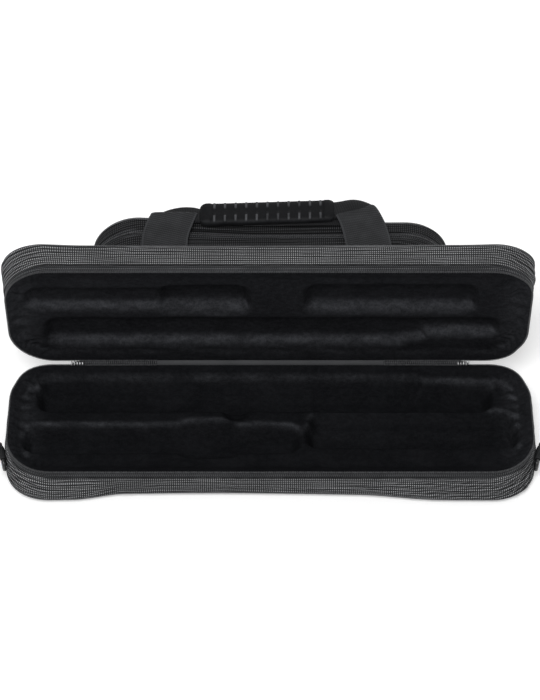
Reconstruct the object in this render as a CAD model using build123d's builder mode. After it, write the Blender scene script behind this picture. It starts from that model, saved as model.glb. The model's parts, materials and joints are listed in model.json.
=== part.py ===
"""Soft zipped case for a three-joint flute, standing open: tray, upright lid, accessory pocket and handle.

Origin: centre of the tray's underside. X runs along the case, +Y points to the hinge side, +Z is up.
Each half is drawn in its own frame, whose z axis runs outwards from the parting plane.
"""

from build123d import *
from math import cos, radians, sin
from typing import NamedTuple
import os

# ---------------------------------------------------------------- driving dimensions (mm, degrees)
case_length = 430.0
case_depth = 114.0
tray_height = 36.0
lid_height = 33.0
lid_angle = 90.0
corner_radius = 38.0
edge_radius = 8.0
cover_wall = 2.0

seam_height = 5.0
welt_width = 2.0
welt_proud = 0.4
welt_round = 0.35
tape_width = 8.0
tape_setback = 1.0
tape_wall = 1.0
teeth_height = 1.2
teeth_proud = 0.3
half_gap = 0.15
hinge_length = 188.0
hinge_setback = 0.3

lining_wall = 2.0
tray_pad_drop = 8.0
lid_pad_drop = 4.0
rim_wall = 2.0
rim_slope = 10.0
recess_corner = 9.0
recess_floor_radius = 6.0

pocket_length = 283.0
pocket_low = 14.0
pocket_high = 101.0
pocket_base_height = 19.0
pocket_flap_height = 17.0
pocket_low_radius = 12.0
pocket_high_radius = 38.0
pocket_edge_radius = 5.0
pocket_wall = 1.6
pocket_tape_width = 3.5
pocket_tape_setback = 0.7
pocket_tape_wall = 0.9
pocket_teeth_height = 0.9
pocket_seam_height = 3.5
pocket_welt_width = 1.6
pocket_hinge_length = 220.0

handle_centre = -3.0
strap_spacing = 164.0
strap_width = 37.0
strap_thickness = 2.2
anchor_thickness = 1.8
anchor_length = 4.0
anchor_corner = 1.0
handle_height = 104.0
handle_tilt = 9.0
handle_reach = 43.0
strap_fold = 12.0
strap_edge = 2.0
web_width = 17.0
grip_length = 108.0
grip_width = 20.0
grip_thickness = 9.0
grip_edge = 3.6
grip_clearance = 0.1
rib_pitch = 8.6
rib_count = 11
rib_width = 2.6
rib_length = 5.0
rib_depth = 0.8

ring_turn = 13.0
ring_width = 22.0
ring_drop = 11.5
ring_wire = 3.2
ring_bar_corner = 2.6
ring_bow_corner = 6.5
ring_fit = 0.1
tab_width = 13.0
tab_wall = 1.6
tab_height = 13.0
tab_top_drop = 0.5
tab_standoff = 0.4
tab_wall_gap = 0.1

slider_length = 11.0
slider_width = 6.0
slider_plate = 2.2
slider_gap = 0.3
slider_end_gap = 55.0
slider_drop = 4.9
pocket_slider_height = 52.0
bail_length = 7.0
bail_width = 2.0
bail_bar = 1.0
bail_post = 1.5
pull_bar = 1.2
pull_gap = 0.3
pull_slot = 4.6
pull_length = 22.0
pull_width = 6.0
pull_hole = 2.4


class Outline(NamedTuple):
    """A rectangle whose corners are rounded, with one radius on the hinge side and one away from it."""

    length: float
    depth: float
    hinge_radius: float
    far_radius: float


class Shell(NamedTuple):
    """One half of a zipped box: its frame starts at the parting plane and its z axis points outwards."""

    frame: Plane
    outline: Outline
    hinge_side: int
    height: float
    edge: float
    wall: float
    hinge: float


class Recess(NamedTuple):
    """A well in the padding: x from left to right, distance from the hinge line, and depth below the pad."""

    left: float
    right: float
    near: float
    far: float
    depth: float


# ---------------------------------------------------------------- frames of the halves
hinge_y = case_depth / 2
lid_out = Vector(0, sin(radians(lid_angle)), cos(radians(lid_angle)))
lid_to_hinge = Vector(0, cos(radians(lid_angle)), -sin(radians(lid_angle)))
hinge_point = Vector(0, hinge_y, tray_height)


def lid_plane(from_hinge, outwards):
    """A plane parallel to the lid, given its distance from the hinge line and from the parting plane."""
    origin = hinge_point - lid_to_hinge * from_hinge + lid_out * outwards
    return Plane(origin=origin, x_dir=(1, 0, 0), z_dir=lid_out)


case_outline = Outline(case_length, case_depth, corner_radius, corner_radius)
pocket_outline = Outline(
    pocket_length, pocket_high - pocket_low, pocket_low_radius, pocket_high_radius
)
pocket_middle = (pocket_low + pocket_high) / 2
pocket_parting = lid_plane(pocket_middle, lid_height + pocket_base_height)

tray_shell = Shell(
    Plane(origin=(0, 0, tray_height), x_dir=(1, 0, 0), z_dir=(0, 0, -1)),
    case_outline,
    -1,
    tray_height,
    edge_radius,
    cover_wall,
    hinge_length,
)
lid_shell = Shell(
    lid_plane(case_depth / 2, 0), case_outline, 1, lid_height, edge_radius, cover_wall, hinge_length
)
pocket_base_shell = Shell(
    Plane(origin=pocket_parting.origin, x_dir=(1, 0, 0), z_dir=-lid_out),
    pocket_outline,
    -1,
    pocket_base_height,
    0,
    pocket_wall,
    pocket_hinge_length,
)
pocket_flap_shell = Shell(
    pocket_parting,
    pocket_outline,
    1,
    pocket_flap_height,
    pocket_edge_radius,
    pocket_wall,
    pocket_hinge_length,
)

# ---------------------------------------------------------------- recesses for the three flute joints
def recesses_of(height, rows):
    """Recesses from their shares: x of the case's length from its middle, a of its depth, w of the half's height."""
    return [
        Recess(
            left * case_length,
            right * case_length,
            near * case_depth,
            far * case_depth,
            depth * height,
        )
        for left, right, near, far, depth in rows
    ]


tray_recesses = recesses_of(
    tray_height,
    [
        (-0.463, 0.051, 0.544, 0.741, 0.500),  # head joint
        (-0.175, -0.058, 0.500, 0.785, 0.445),  # its lip plate
        (-0.442, 0.419, 0.154, 0.368, 0.500),  # body joint
        (-0.437, 0.291, 0.092, 0.250, 0.280),  # its rods and keys
        (-0.086, -0.044, 0.281, 0.456, 0.222),  # its thumb lever
        (0.072, 0.465, 0.509, 0.697, 0.500),  # foot joint
        (0.077, 0.460, 0.412, 0.601, 0.305),  # its rods and keys
    ],
)
lid_recesses = recesses_of(
    lid_height,
    [
        (-0.458, -0.200, 0.566, 0.763, 0.212),  # crown end of the head joint
        (-0.209, -0.042, 0.522, 0.789, 0.424),  # lip plate
        (0.067, 0.388, 0.539, 0.798, 0.318),  # keys of the foot joint
        (-0.426, 0.263, 0.171, 0.439, 0.288),  # keys of the body joint
        (0.209, 0.437, 0.272, 0.439, 0.273),  # end of the body joint
        (0.219, 0.298, 0.214, 0.395, 0.242),  # trill keys
    ],
)


# ---------------------------------------------------------------- shared building steps
def outer_face(solid, frame):
    """The face that lies furthest out from the parting plane."""
    return solid.faces().sort_by(Axis(frame.origin, frame.z_dir))[-1]


def block(shell, inset, start, end, edge=0.0):
    """The shell's outline, drawn in by the inset, from one depth to another, with its outer edge rounded."""
    size = shell.outline
    hinge_end = -1 if shell.hinge_side > 0 else 0
    with BuildPart() as solid:
        with BuildSketch(shell.frame.offset(start)):
            Rectangle(size.length - 2 * inset, size.depth - 2 * inset)
            fillet(vertices().group_by(Axis.Y)[hinge_end], radius=size.hinge_radius - inset)
            fillet(vertices().group_by(Axis.Y)[-1 - hinge_end], radius=size.far_radius - inset)
        extrude(amount=end - start)
        if edge > 0:
            fillet(outer_face(solid, shell.frame).edges(), radius=edge)
    return solid


def hinge_zone(shell, start, end):
    """The stretch of wall at the hinge line that the zip leaves free."""
    reach = shell.outline.far_radius
    with BuildPart() as zone:
        with BuildSketch(shell.frame.offset(start)):
            with Locations((0, shell.hinge_side * shell.outline.depth / 2)):
                Rectangle(shell.hinge, reach)
        extrude(amount=end - start)
    return zone


def ring(shell, outer_inset, inner_inset, start, end):
    """A band of even thickness that follows the outline all the way round."""
    outside = block(shell, outer_inset, start, end)
    inside = block(shell, inner_inset, start, end)
    with BuildPart() as band:
        add(outside)
        add(inside, mode=Mode.SUBTRACT)
    return band


def cover(shell, start, end):
    """The part of the rounded cover that lies between two depths."""
    outside = block(shell, 0, 0, shell.height, shell.edge)
    inside = block(shell, shell.wall, 0, shell.height - shell.wall, shell.edge - shell.wall)
    beyond = block(shell, -shell.wall, start, end)
    with BuildPart() as piece:
        add(outside)
        add(inside, mode=Mode.SUBTRACT)
        add(beyond, mode=Mode.INTERSECT)
    return piece


def zip_tape(shell, setback, wall, width, teeth):
    """The zip tape of one half, standing on the side band and open at the hinge."""
    strip = ring(shell, setback, setback + wall, teeth, width)
    opening = hinge_zone(shell, teeth, width)
    with BuildPart() as tape:
        add(strip)
        add(opening, mode=Mode.SUBTRACT)
    return tape


def zip_teeth(shell, setback, wall, teeth):
    """The bead of zip teeth along the edge of the tape."""
    strip = ring(shell, setback - teeth_proud, setback + wall + half_gap, half_gap, teeth)
    opening = hinge_zone(shell, half_gap, teeth)
    with BuildPart() as bead:
        add(strip)
        add(opening, mode=Mode.SUBTRACT)
    return bead


def hinge_leaf(shell, thickness, width):
    """One leaf of the cloth strip that joins two halves where the zip is absent."""
    strip = ring(shell, hinge_setback, thickness, half_gap, width)
    zone = hinge_zone(shell, half_gap, width)
    with BuildPart() as leaf:
        add(strip)
        add(zone, mode=Mode.INTERSECT)
    return leaf


def seam_welt(shell, distance, width, inner_inset):
    """The piping in a seam, at a distance from the outer face."""
    middle = shell.height - distance
    band = ring(shell, -welt_proud, inner_inset, middle - width / 2, middle + width / 2)
    outwards = Axis(shell.frame.origin, shell.frame.z_dir)
    with BuildPart() as welt:
        add(band)
        rims = welt.faces().sort_by(outwards)
        outer_edges = rims[0].outer_wire().edges() + rims[-1].outer_wire().edges()
        fillet(outer_edges, radius=welt_round * width)
    return welt


def side_band(shell, tape, seam, width):
    """The cloth wall of one half, from the zip tape to the seam."""
    return cover(shell, tape, shell.height - seam - width / 2)


def outer_panel(shell, seam, width):
    """The cloth panel that closes one half, from the seam to the outer face."""
    return cover(shell, shell.height - seam + width / 2, shell.height)


os.makedirs("parts", exist_ok=True)


def save(name, piece):
    """Label one piece and write it to its own file."""
    piece.part.label = name
    export_step(piece.part, f"parts/{name}.step")


# ---------------------------------------------------------------- padding with its recesses
def well(shell, recess, top, bottom, grow):
    """One recess as a solid between two depths: the space itself, or with grow the space and its lining."""
    middle = (recess.near + recess.far) / 2
    across = shell.hinge_side * (shell.outline.depth / 2 - middle)
    length = recess.right - recess.left + 2 * grow
    width = recess.far - recess.near + 2 * grow
    with BuildPart() as solid:
        with BuildSketch(shell.frame.offset(top)):
            with Locations(((recess.left + recess.right) / 2, across)):
                RectangleRounded(length, width, min(recess_corner, width / 3) + grow)
        extrude(amount=bottom - top)
        if grow == 0:
            floor_radius = min(recess_floor_radius, recess.depth / 2)
            fillet(outer_face(solid, shell.frame).edges(), radius=floor_radius)
    return solid


def foam(shell, pad_drop, recesses):
    """The foam body of one half, cut out for the lined recesses."""
    start = pad_drop + lining_wall
    end = shell.height - shell.wall
    body = block(shell, shell.wall, start, end, shell.edge - shell.wall)
    wells = [well(shell, item, pad_drop, start + item.depth, lining_wall) for item in recesses]
    with BuildPart() as padding:
        add(body)
        for hollow in wells:
            add(hollow, mode=Mode.SUBTRACT)
    return padding


def lining(shell, pad_drop, recesses):
    """The moulded plush lining: a pad that rises to the rim all round and dips into every recess."""
    plate = block(shell, tape_setback + tape_wall, teeth_height, pad_drop + lining_wall)
    skins = [
        well(shell, item, pad_drop, pad_drop + item.depth + lining_wall, lining_wall)
        for item in recesses
    ]
    hollows = [well(shell, item, 0, pad_drop + item.depth, 0) for item in recesses]
    rim_inset = tape_setback + tape_wall + rim_wall
    with BuildPart() as dish:
        for depth, inset in ((teeth_height, rim_inset), (pad_drop, rim_inset + rim_slope)):
            with BuildSketch(shell.frame.offset(depth)):
                RectangleRounded(
                    shell.outline.length - 2 * inset,
                    shell.outline.depth - 2 * inset,
                    shell.outline.far_radius - inset,
                )
        loft(ruled=True)
    with BuildPart() as skin:
        add(plate)
        for recess_skin in skins:
            add(recess_skin)
        add(dish, mode=Mode.SUBTRACT)
        for hollow in hollows:
            add(hollow, mode=Mode.SUBTRACT)
    return skin


# ---------------------------------------------------------------- handle
root_out = lid_height + anchor_thickness + pull_gap + strap_thickness / 2
handle_pivot = lid_plane(handle_height, root_out).origin
tilt = radians(handle_tilt)
handle_out = lid_out * cos(tilt) - lid_to_hinge * sin(tilt)
handle_plane = Plane(origin=handle_pivot, x_dir=(1, 0, 0), z_dir=Vector(1, 0, 0).cross(handle_out))
grip_middle = handle_reach - strap_edge - web_width / 2
strap_places = [handle_centre - strap_spacing / 2, handle_centre + strap_spacing / 2]


def strap_anchor(place):
    """The sewn-down end of one strap, stitched to the lid's outer panel."""
    with BuildPart() as anchor:
        with BuildSketch(lid_plane(handle_height, lid_height)):
            with Locations((place, 0)):
                RectangleRounded(strap_width, anchor_length, anchor_corner)
        extrude(amount=anchor_thickness)
    return anchor


def handle_webbing():
    """One length of webbing: both straps, each folded over towards the grip, and the run through the grip."""
    with BuildPart() as webbing:
        with BuildSketch(handle_plane.offset(-strap_thickness / 2)):
            for place in strap_places:
                outwards = 1 if place > handle_centre else -1
                with Locations((place, handle_reach / 2)):
                    Rectangle(strap_width, handle_reach)
                outer_side = vertices().sort_by(Axis.X)[:: -outwards][:2]
                fillet(outer_side.sort_by(Axis.Y)[-1], radius=strap_fold)
            with Locations((handle_centre, grip_middle)):
                Rectangle(strap_spacing, web_width)
        extrude(amount=strap_thickness)
        for place in strap_places:
            root = handle_pivot + Vector(place - strap_width / 2, 0, 0)
            with BuildSketch(Plane(origin=root, x_dir=lid_out, z_dir=(1, 0, 0))):
                Circle(strap_thickness / 2)
            extrude(amount=strap_width)
    return webbing


def handle_grip():
    """The moulded grip around the webbing, with finger ribs along both long edges."""
    with BuildPart() as grip:
        with BuildSketch(handle_plane.offset(-grip_thickness / 2)):
            with Locations((handle_centre, grip_middle)):
                RectangleRounded(grip_length, grip_width, grip_width / 3)
        extrude(amount=grip_thickness)
        flat_faces = grip.faces().filter_by(GeomType.PLANE).sort_by(SortBy.AREA)[-2:]
        fillet(flat_faces.edges(), radius=grip_edge)
        with BuildSketch(handle_plane.offset(-strap_thickness / 2 - grip_clearance)):
            with Locations((handle_centre, grip_middle)):
                Rectangle(grip_length, web_width + 2 * grip_clearance)
        extrude(amount=strap_thickness + 2 * grip_clearance, mode=Mode.SUBTRACT)
        with BuildSketch(handle_plane.offset(grip_thickness / 2)):
            with Locations((handle_centre, grip_middle)):
                with GridLocations(rib_pitch, grip_width - rib_length, rib_count, 2):
                    RectangleRounded(rib_width, rib_length, rib_width / 2 - 0.1)
        extrude(amount=-rib_depth, mode=Mode.SUBTRACT)
    return grip


# ---------------------------------------------------------------- end rings
eye_hole = ring_wire / 2 + ring_fit
eye_radius = eye_hole + tab_wall


def ring_frame(side):
    """The frame of one end ring: x along the wall, y up, z outwards, on the bar's axis."""
    turn = radians(ring_turn)
    outwards = Vector(side * cos(turn), -sin(turn), 0)
    corner = Vector(side * (case_length / 2 - corner_radius), -(case_depth / 2 - corner_radius), 0)
    wall = corner + outwards * corner_radius
    height = tray_height - tape_width - tab_top_drop - eye_radius
    origin = wall + outwards * (eye_radius + tab_standoff) + Vector(0, 0, height)
    return Plane(origin=origin, x_dir=Vector(0, 0, 1).cross(outwards), z_dir=outwards)


def ring_tab(side):
    """The webbing tab sewn to the end of the tray, with the eye that carries the ring."""
    frame = ring_frame(side)
    across = Plane(origin=frame.origin - frame.x_dir * tab_width / 2, x_dir=frame.z_dir, z_dir=frame.x_dir)
    downwards = Align.MAX if across.y_dir.Z > 0 else Align.MIN
    back = -(eye_radius + tab_standoff) + tab_wall_gap
    with BuildPart() as tab:
        with BuildSketch(across):
            Circle(eye_radius)
            with Locations((back, 0)):
                Rectangle(tab_wall, tab_height, align=(Align.MIN, downwards))
            with Locations((back, 0)):
                Rectangle(-back, eye_radius, align=(Align.MIN, downwards))
            Circle(eye_hole, mode=Mode.SUBTRACT)
        extrude(amount=tab_width)
    return tab


def end_ring(side):
    """One D-shaped ring, hanging by its straight bar."""
    frame = ring_frame(side)
    half = ring_width / 2
    with BuildPart() as ring_piece:
        with BuildLine(frame) as path:
            FilletPolyline(
                (0, 0),
                (half, 0),
                (half, -ring_drop),
                (-half, -ring_drop),
                (-half, 0),
                close=True,
                radius=[0, ring_bar_corner, ring_bow_corner, ring_bow_corner, ring_bar_corner],
            )
        with BuildSketch(Plane(origin=frame.origin, x_dir=frame.z_dir, z_dir=frame.x_dir)):
            Circle(ring_wire / 2)
        sweep(path=path.wires()[0])
    return ring_piece


# ---------------------------------------------------------------- zip sliders and pulls
bail_opening = pull_bar + 2 * pull_gap
pull_height = slider_plate + pull_gap + pull_bar / 2


def main_slider_frame(side):
    """Where a main slider is parked behind the tray: x towards the middle, z outwards."""
    across = side * (case_length / 2 - slider_end_gap)
    origin = (across, hinge_y - tape_setback + slider_gap, tray_height - slider_drop)
    return Plane(origin=origin, x_dir=(-side, 0, 0), z_dir=(0, 1, 0))


pocket_slider_side = pocket_length / 2 - pocket_tape_setback + slider_gap
pocket_slider_frame = Plane(
    origin=lid_plane(pocket_slider_height, lid_height + pocket_base_height).origin
    + Vector(pocket_slider_side, 0, 0),
    x_dir=lid_to_hinge,
    z_dir=(1, 0, 0),
)


def zip_slider(frame):
    """A slider body with the bail that holds its pull."""
    with BuildPart() as slider:
        with BuildSketch(frame):
            RectangleRounded(slider_length, slider_width, slider_width / 4)
        extrude(amount=slider_plate)
        with BuildSketch(frame.offset(slider_plate)):
            Rectangle(bail_length, bail_width)
        extrude(amount=bail_opening + bail_bar)
        with BuildSketch(frame.offset(slider_plate)):
            Rectangle(bail_length - 2 * bail_post, bail_width)
        extrude(amount=bail_opening, mode=Mode.SUBTRACT)
    return slider


def zip_pull(frame):
    """A flat pull whose cross bar turns under the bail."""
    with BuildPart() as pull:
        with BuildSketch(frame.offset(pull_height - pull_bar / 2)):
            with Locations((-pull_bar / 2, 0)):
                Rectangle(pull_length, pull_width, align=(Align.MIN, Align.CENTER))
            fillet(vertices().group_by(Axis.X)[-1], radius=pull_width / 3)
            with Locations((pull_bar / 2, 0)):
                slot_length = pull_slot - pull_bar / 2
                slot_width = bail_width + 2 * pull_gap
                Rectangle(
                    slot_length, slot_width, align=(Align.MIN, Align.CENTER), mode=Mode.SUBTRACT
                )
            with Locations((pull_length - pull_width / 2, 0)):
                Circle(pull_hole / 2, mode=Mode.SUBTRACT)
        extrude(amount=pull_bar)
    return pull


# ---------------------------------------------------------------- write every piece
for half, shell, drop, recesses in (
    ("tray", tray_shell, tray_pad_drop, tray_recesses),
    ("lid", lid_shell, lid_pad_drop, lid_recesses),
):
    save(f"{half}_side_band", side_band(shell, tape_width, seam_height, welt_width))
    save(f"{half}_outer_panel", outer_panel(shell, seam_height, welt_width))
    save(f"{half}_seam_welt", seam_welt(shell, seam_height, welt_width, cover_wall))
    save(f"{half}_foam", foam(shell, drop, recesses))
    save(f"{half}_lining", lining(shell, drop, recesses))
    save(f"{half}_zip_tape", zip_tape(shell, tape_setback, tape_wall, tape_width, teeth_height))
    save(f"{half}_zip_teeth", zip_teeth(shell, tape_setback, tape_wall, teeth_height))
    save(f"{half}_hinge_leaf", hinge_leaf(shell, cover_wall, tape_width))

base_seam = pocket_welt_width / 2
for half, shell, seam in (
    ("pocket_base", pocket_base_shell, base_seam),
    ("pocket_flap", pocket_flap_shell, pocket_seam_height),
):
    setback, wall, teeth = pocket_tape_setback, pocket_tape_wall, pocket_teeth_height
    save(f"{half}_band", side_band(shell, pocket_tape_width, seam, pocket_welt_width))
    save(f"{half}_welt", seam_welt(shell, seam, pocket_welt_width, pocket_wall))
    save(f"{half}_zip_tape", zip_tape(shell, setback, wall, pocket_tape_width, teeth))
    save(f"{half}_zip_teeth", zip_teeth(shell, setback, wall, teeth))
    save(f"{half}_hinge_leaf", hinge_leaf(shell, pocket_wall, pocket_tape_width))
save("pocket_flap_panel", outer_panel(pocket_flap_shell, pocket_seam_height, pocket_welt_width))

save("strap_anchor_left", strap_anchor(strap_places[0]))
save("strap_anchor_right", strap_anchor(strap_places[1]))
save("handle_webbing", handle_webbing())
save("handle_grip", handle_grip())

for name, side in (("left", -1), ("right", 1)):
    save(f"ring_tab_{name}", ring_tab(side))
    save(f"end_ring_{name}", end_ring(side))
    save(f"zip_slider_{name}", zip_slider(main_slider_frame(side)))
    save(f"zip_pull_{name}", zip_pull(main_slider_frame(side)))
save("pocket_zip_slider", zip_slider(pocket_slider_frame))
save("pocket_zip_pull", zip_pull(pocket_slider_frame))
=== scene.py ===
# %% [markdown]
# # A soft zipped flute case
# The case stands open: a padded tray on the table, its lid upright behind it, an accessory pocket and a
# webbing handle on the lid. The solid model gives every place and size. This script dresses it: cloth with
# a weave, plush pads with soft wells, zips with real teeth, and webbing that folds.

import json
from math import cos, pi, radians, sin
from types import SimpleNamespace

import bmesh
import bpy
import numpy as np
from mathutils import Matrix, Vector


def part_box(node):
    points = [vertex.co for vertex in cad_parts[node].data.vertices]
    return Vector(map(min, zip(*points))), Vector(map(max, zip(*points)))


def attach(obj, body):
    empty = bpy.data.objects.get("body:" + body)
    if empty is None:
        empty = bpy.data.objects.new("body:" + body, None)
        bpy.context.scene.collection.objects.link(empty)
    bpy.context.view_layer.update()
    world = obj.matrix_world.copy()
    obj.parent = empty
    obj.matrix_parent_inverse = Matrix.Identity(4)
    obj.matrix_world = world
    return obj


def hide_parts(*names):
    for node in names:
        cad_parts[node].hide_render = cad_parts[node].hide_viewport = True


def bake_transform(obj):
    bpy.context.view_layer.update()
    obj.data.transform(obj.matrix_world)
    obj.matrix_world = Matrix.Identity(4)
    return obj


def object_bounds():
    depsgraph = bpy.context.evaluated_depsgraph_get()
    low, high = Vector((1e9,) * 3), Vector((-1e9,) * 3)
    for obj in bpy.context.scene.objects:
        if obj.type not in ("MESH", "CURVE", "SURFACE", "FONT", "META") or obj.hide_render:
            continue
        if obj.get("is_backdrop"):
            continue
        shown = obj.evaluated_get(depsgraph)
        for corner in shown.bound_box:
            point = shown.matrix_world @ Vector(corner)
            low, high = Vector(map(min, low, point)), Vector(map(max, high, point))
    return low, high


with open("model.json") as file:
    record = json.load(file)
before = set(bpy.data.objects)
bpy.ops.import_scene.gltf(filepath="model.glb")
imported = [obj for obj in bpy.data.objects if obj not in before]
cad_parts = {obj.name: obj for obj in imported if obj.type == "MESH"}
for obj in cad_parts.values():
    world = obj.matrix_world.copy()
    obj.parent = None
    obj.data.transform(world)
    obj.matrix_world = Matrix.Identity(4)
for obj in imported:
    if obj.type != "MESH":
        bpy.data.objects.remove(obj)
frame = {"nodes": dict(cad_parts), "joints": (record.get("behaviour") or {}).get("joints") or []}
cad_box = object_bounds()
print("pieces in the frame:", len(frame["nodes"]))

# %% [markdown]
# ## Sizes
# Blender works in metres, but a case maker thinks in millimetres, so the shapes below are worked out in
# millimetres and turned into metres when a mesh is made. The outer sizes are read from the solid model, so
# that nothing has to be fitted afterwards.

# %% Read the main sizes
MM = 0.001
joints = {j["name"]: j for j in frame["joints"]}
joint_at = {name: Vector(j["pos_m"]) / MM for name, j in joints.items() if "pos_m" in j}
sides = (("left", -1), ("right", 1))


def span(node):
    """Lowest and highest corner of a solid, in millimetres."""
    low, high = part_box(node)
    return Vector(low) / MM, Vector(high) / MM


hinge_y, hinge_z = joint_at["lid_hinge"].y, joint_at["lid_hinge"].z
half_length = span("tray_side_band")[1].x
depth = 2 * span("tray_side_band")[1].y
tray_height = hinge_z
lid_height = span("lid_outer_panel")[1].y - hinge_y
tape_width = hinge_z - span("tray_side_band")[1].z
hinge_half = span("tray_hinge_leaf")[1].x
pocket_low, pocket_high = (v.z - hinge_z for v in span("pocket_base_band"))
pocket_half = span("pocket_base_band")[1].x
pocket_zip = joint_at["pocket_flap_hinge"].y - hinge_y
pocket_out = span("pocket_flap_panel")[1].y - hinge_y
corner_radius = 38.0
edge_radius = 8.0
print(f"case {2 * half_length:.0f} x {depth:.0f} mm, tray {tray_height:.0f}, lid {lid_height:.0f},",
      f"pocket {pocket_low:.0f} to {pocket_high:.0f}, zip {pocket_zip:.0f}, out {pocket_out:.0f}")

# %% [markdown]
# ## Half coordinates
# Tray and lid are the same soft box twice. Each is drawn once in its own coordinates: x along the hinge, a
# away from the hinge, and w into the half from the zip. One function for each half turns these into places
# in the room. The case is soft: its outer corners spread, and the lid's right end leans in. Those few
# millimetres are added here, so that cloth, zip and lining all bend together. Each half's own numbers are
# kept below: how deep its pad lies under the zip, the seed of its wrinkles, and how far its walls pull in.


# %% The two halves
def ease(t):
    """0 below 0, 1 above 1 and a smooth step between them."""
    t = np.clip(t, 0, 1)
    return t * t * (3 - 2 * t)


def place_tray(x, a, w):
    outer = ease((w - 3) / (tray_height - 6))
    left, right = ease((-x - 118) / 42), ease((x - 70) / 70)
    front = ease((a - 58) / 46) * outer
    rear = ease((24 - a) / 22) * ease((np.abs(x) - 150) / 45)
    bulge = 5.0 * left + 4.2 * right
    sideways = (2.8 * ease((x - 150) / 50) - 2.6 * ease((-x - 150) / 50)) * front + 4.0 * np.sign(x) * rear
    return np.stack(np.broadcast_arrays(x + sideways, hinge_y - a - bulge * front, hinge_z - w), -1)


def place_lid(x, a, w):
    outer = ease((w - 3) / (lid_height - 6))
    left, right = ease((-x - 140) / 60), ease((x - 140) / 60)
    top = ease((a - 62) / 42) * outer
    end = ease((a - 4) / 14) * (1 - ease((a - 76) / 24))
    sideways = -5.6 * left * top + right * (3.4 * top - 3.0 * end)
    rise = (1.6 * ease((-x - 150) / 40) + 1.2 * ease((x - 150) / 40)) * top
    return np.stack(np.broadcast_arrays(x + sideways, hinge_y + w, hinge_z + a + rise), -1)


tray = SimpleNamespace(name="tray", place=place_tray, height=tray_height, pad=8.0, seed=3, tuck=3.2)
lid = SimpleNamespace(name="lid", place=place_lid, height=lid_height, pad=4.0, seed=7, tuck=1.2)

# %% [markdown]
# ## Camera
# The case is seen from the front and well above, with a long lens from nearly two metres away, so that the
# sides stay almost parallel. The frame is upright, 540 by 700, and the long side carries the sensor's
# width.

# %% Camera
frame_height = 700
camera_elevation = radians(50.75)
camera_distance = 1874.9
focal_pixels = 2376.6
principal_row = 356.5
aim = Vector((-0.3, 0, 113.6))
camera_data = bpy.data.cameras.new("camera")
camera_data.sensor_width = 36.0
camera_data.lens = focal_pixels * camera_data.sensor_width / frame_height
camera_data.shift_y = (principal_row - frame_height / 2) / frame_height
camera_data.clip_end = 100
camera = bpy.data.objects.new("camera", camera_data)
bpy.context.scene.collection.objects.link(camera)
back = Vector((0, -cos(camera_elevation), sin(camera_elevation)))
camera.location = (aim + back * camera_distance) * MM
camera.rotation_euler = (-back).to_track_quat("-Z", "Y").to_euler()
bpy.context.scene.camera = camera
print(f"lens {camera_data.lens:.1f} mm, shift {camera_data.shift_y:.4f}")

# %% [markdown]
# ## Shader helper
# A material is a small graph of nodes. Written out by hand it is long and hard to read, so one class wraps
# an output of a node and gives it Python's operators: `0.5 + 0.5 * wave` adds the Math nodes for us.
# Colours are blended with the Mix node, because a Math node would turn them grey. A second class holds a
# graph and has the one method that makes every other node, and a third is the graph of a material.


# %% Wires, graphs and finishes
class Wire:
    """One output of a node. Arithmetic on it adds Math nodes."""

    def __init__(self, graph, socket):
        self.graph = graph
        self.socket = socket

    def math(self, operation, *values):
        return self.graph.add("ShaderNodeMath", {"operation": operation}, *values)

    def __add__(self, other):
        return self.math("ADD", self, other)

    def __radd__(self, other):
        return self.math("ADD", other, self)

    def __sub__(self, other):
        return self.math("SUBTRACT", self, other)

    def __rsub__(self, other):
        return self.math("SUBTRACT", other, self)

    def __mul__(self, other):
        return self.math("MULTIPLY", self, other)

    def __rmul__(self, other):
        return self.math("MULTIPLY", other, self)

    def __abs__(self):
        return self.math("ABSOLUTE", self)

    def wave(self, pitch):
        """A smooth ridge from 0 to 1 that repeats at the pitch."""
        return 0.5 + 0.5 * self.math("COSINE", self * (2 * pi / pitch))

    def at_most(self, other):
        return self.math("MINIMUM", self, other)

    def step(self, low, high):
        """0 below low, 1 above high, and smooth between them."""
        kind = {"interpolation_type": "SMOOTHSTEP"}
        return self.graph.add("ShaderNodeMapRange", kind, self, low, high, 0.0, 1.0)


class Graph:
    """The nodes of a material or of the surround."""

    def __init__(self, tree):
        self.tree = tree

    def add(self, kind, settings, *values, output=0, **named):
        """Adds a node: its type, its settings, then its sockets in order or by name."""
        node = self.tree.nodes.new(kind)
        for key, value in settings.items():
            setattr(node, key, value)
        sockets = [s for s in node.inputs if s.enabled]
        for socket, value in [*zip(sockets, values), *((node.inputs[k], v) for k, v in named.items())]:
            if isinstance(value, Wire):
                self.tree.links.new(value.socket, socket)
            else:
                socket.default_value = value
        outputs = [s for s in node.outputs if s.enabled]
        return Wire(self, outputs[output] if isinstance(output, int) else node.outputs[output])

    def seen_directly(self):
        """1 for rays from the camera, off a shine or through glass; 0 for rays that light the case."""
        rays = ("Is Camera Ray", "Is Glossy Ray", "Is Transmission Ray")
        direct, mirrored, through = (self.add("ShaderNodeLightPath", {}, output=ray) for ray in rays)
        return (direct + mirrored + through).at_most(1.0)


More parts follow.
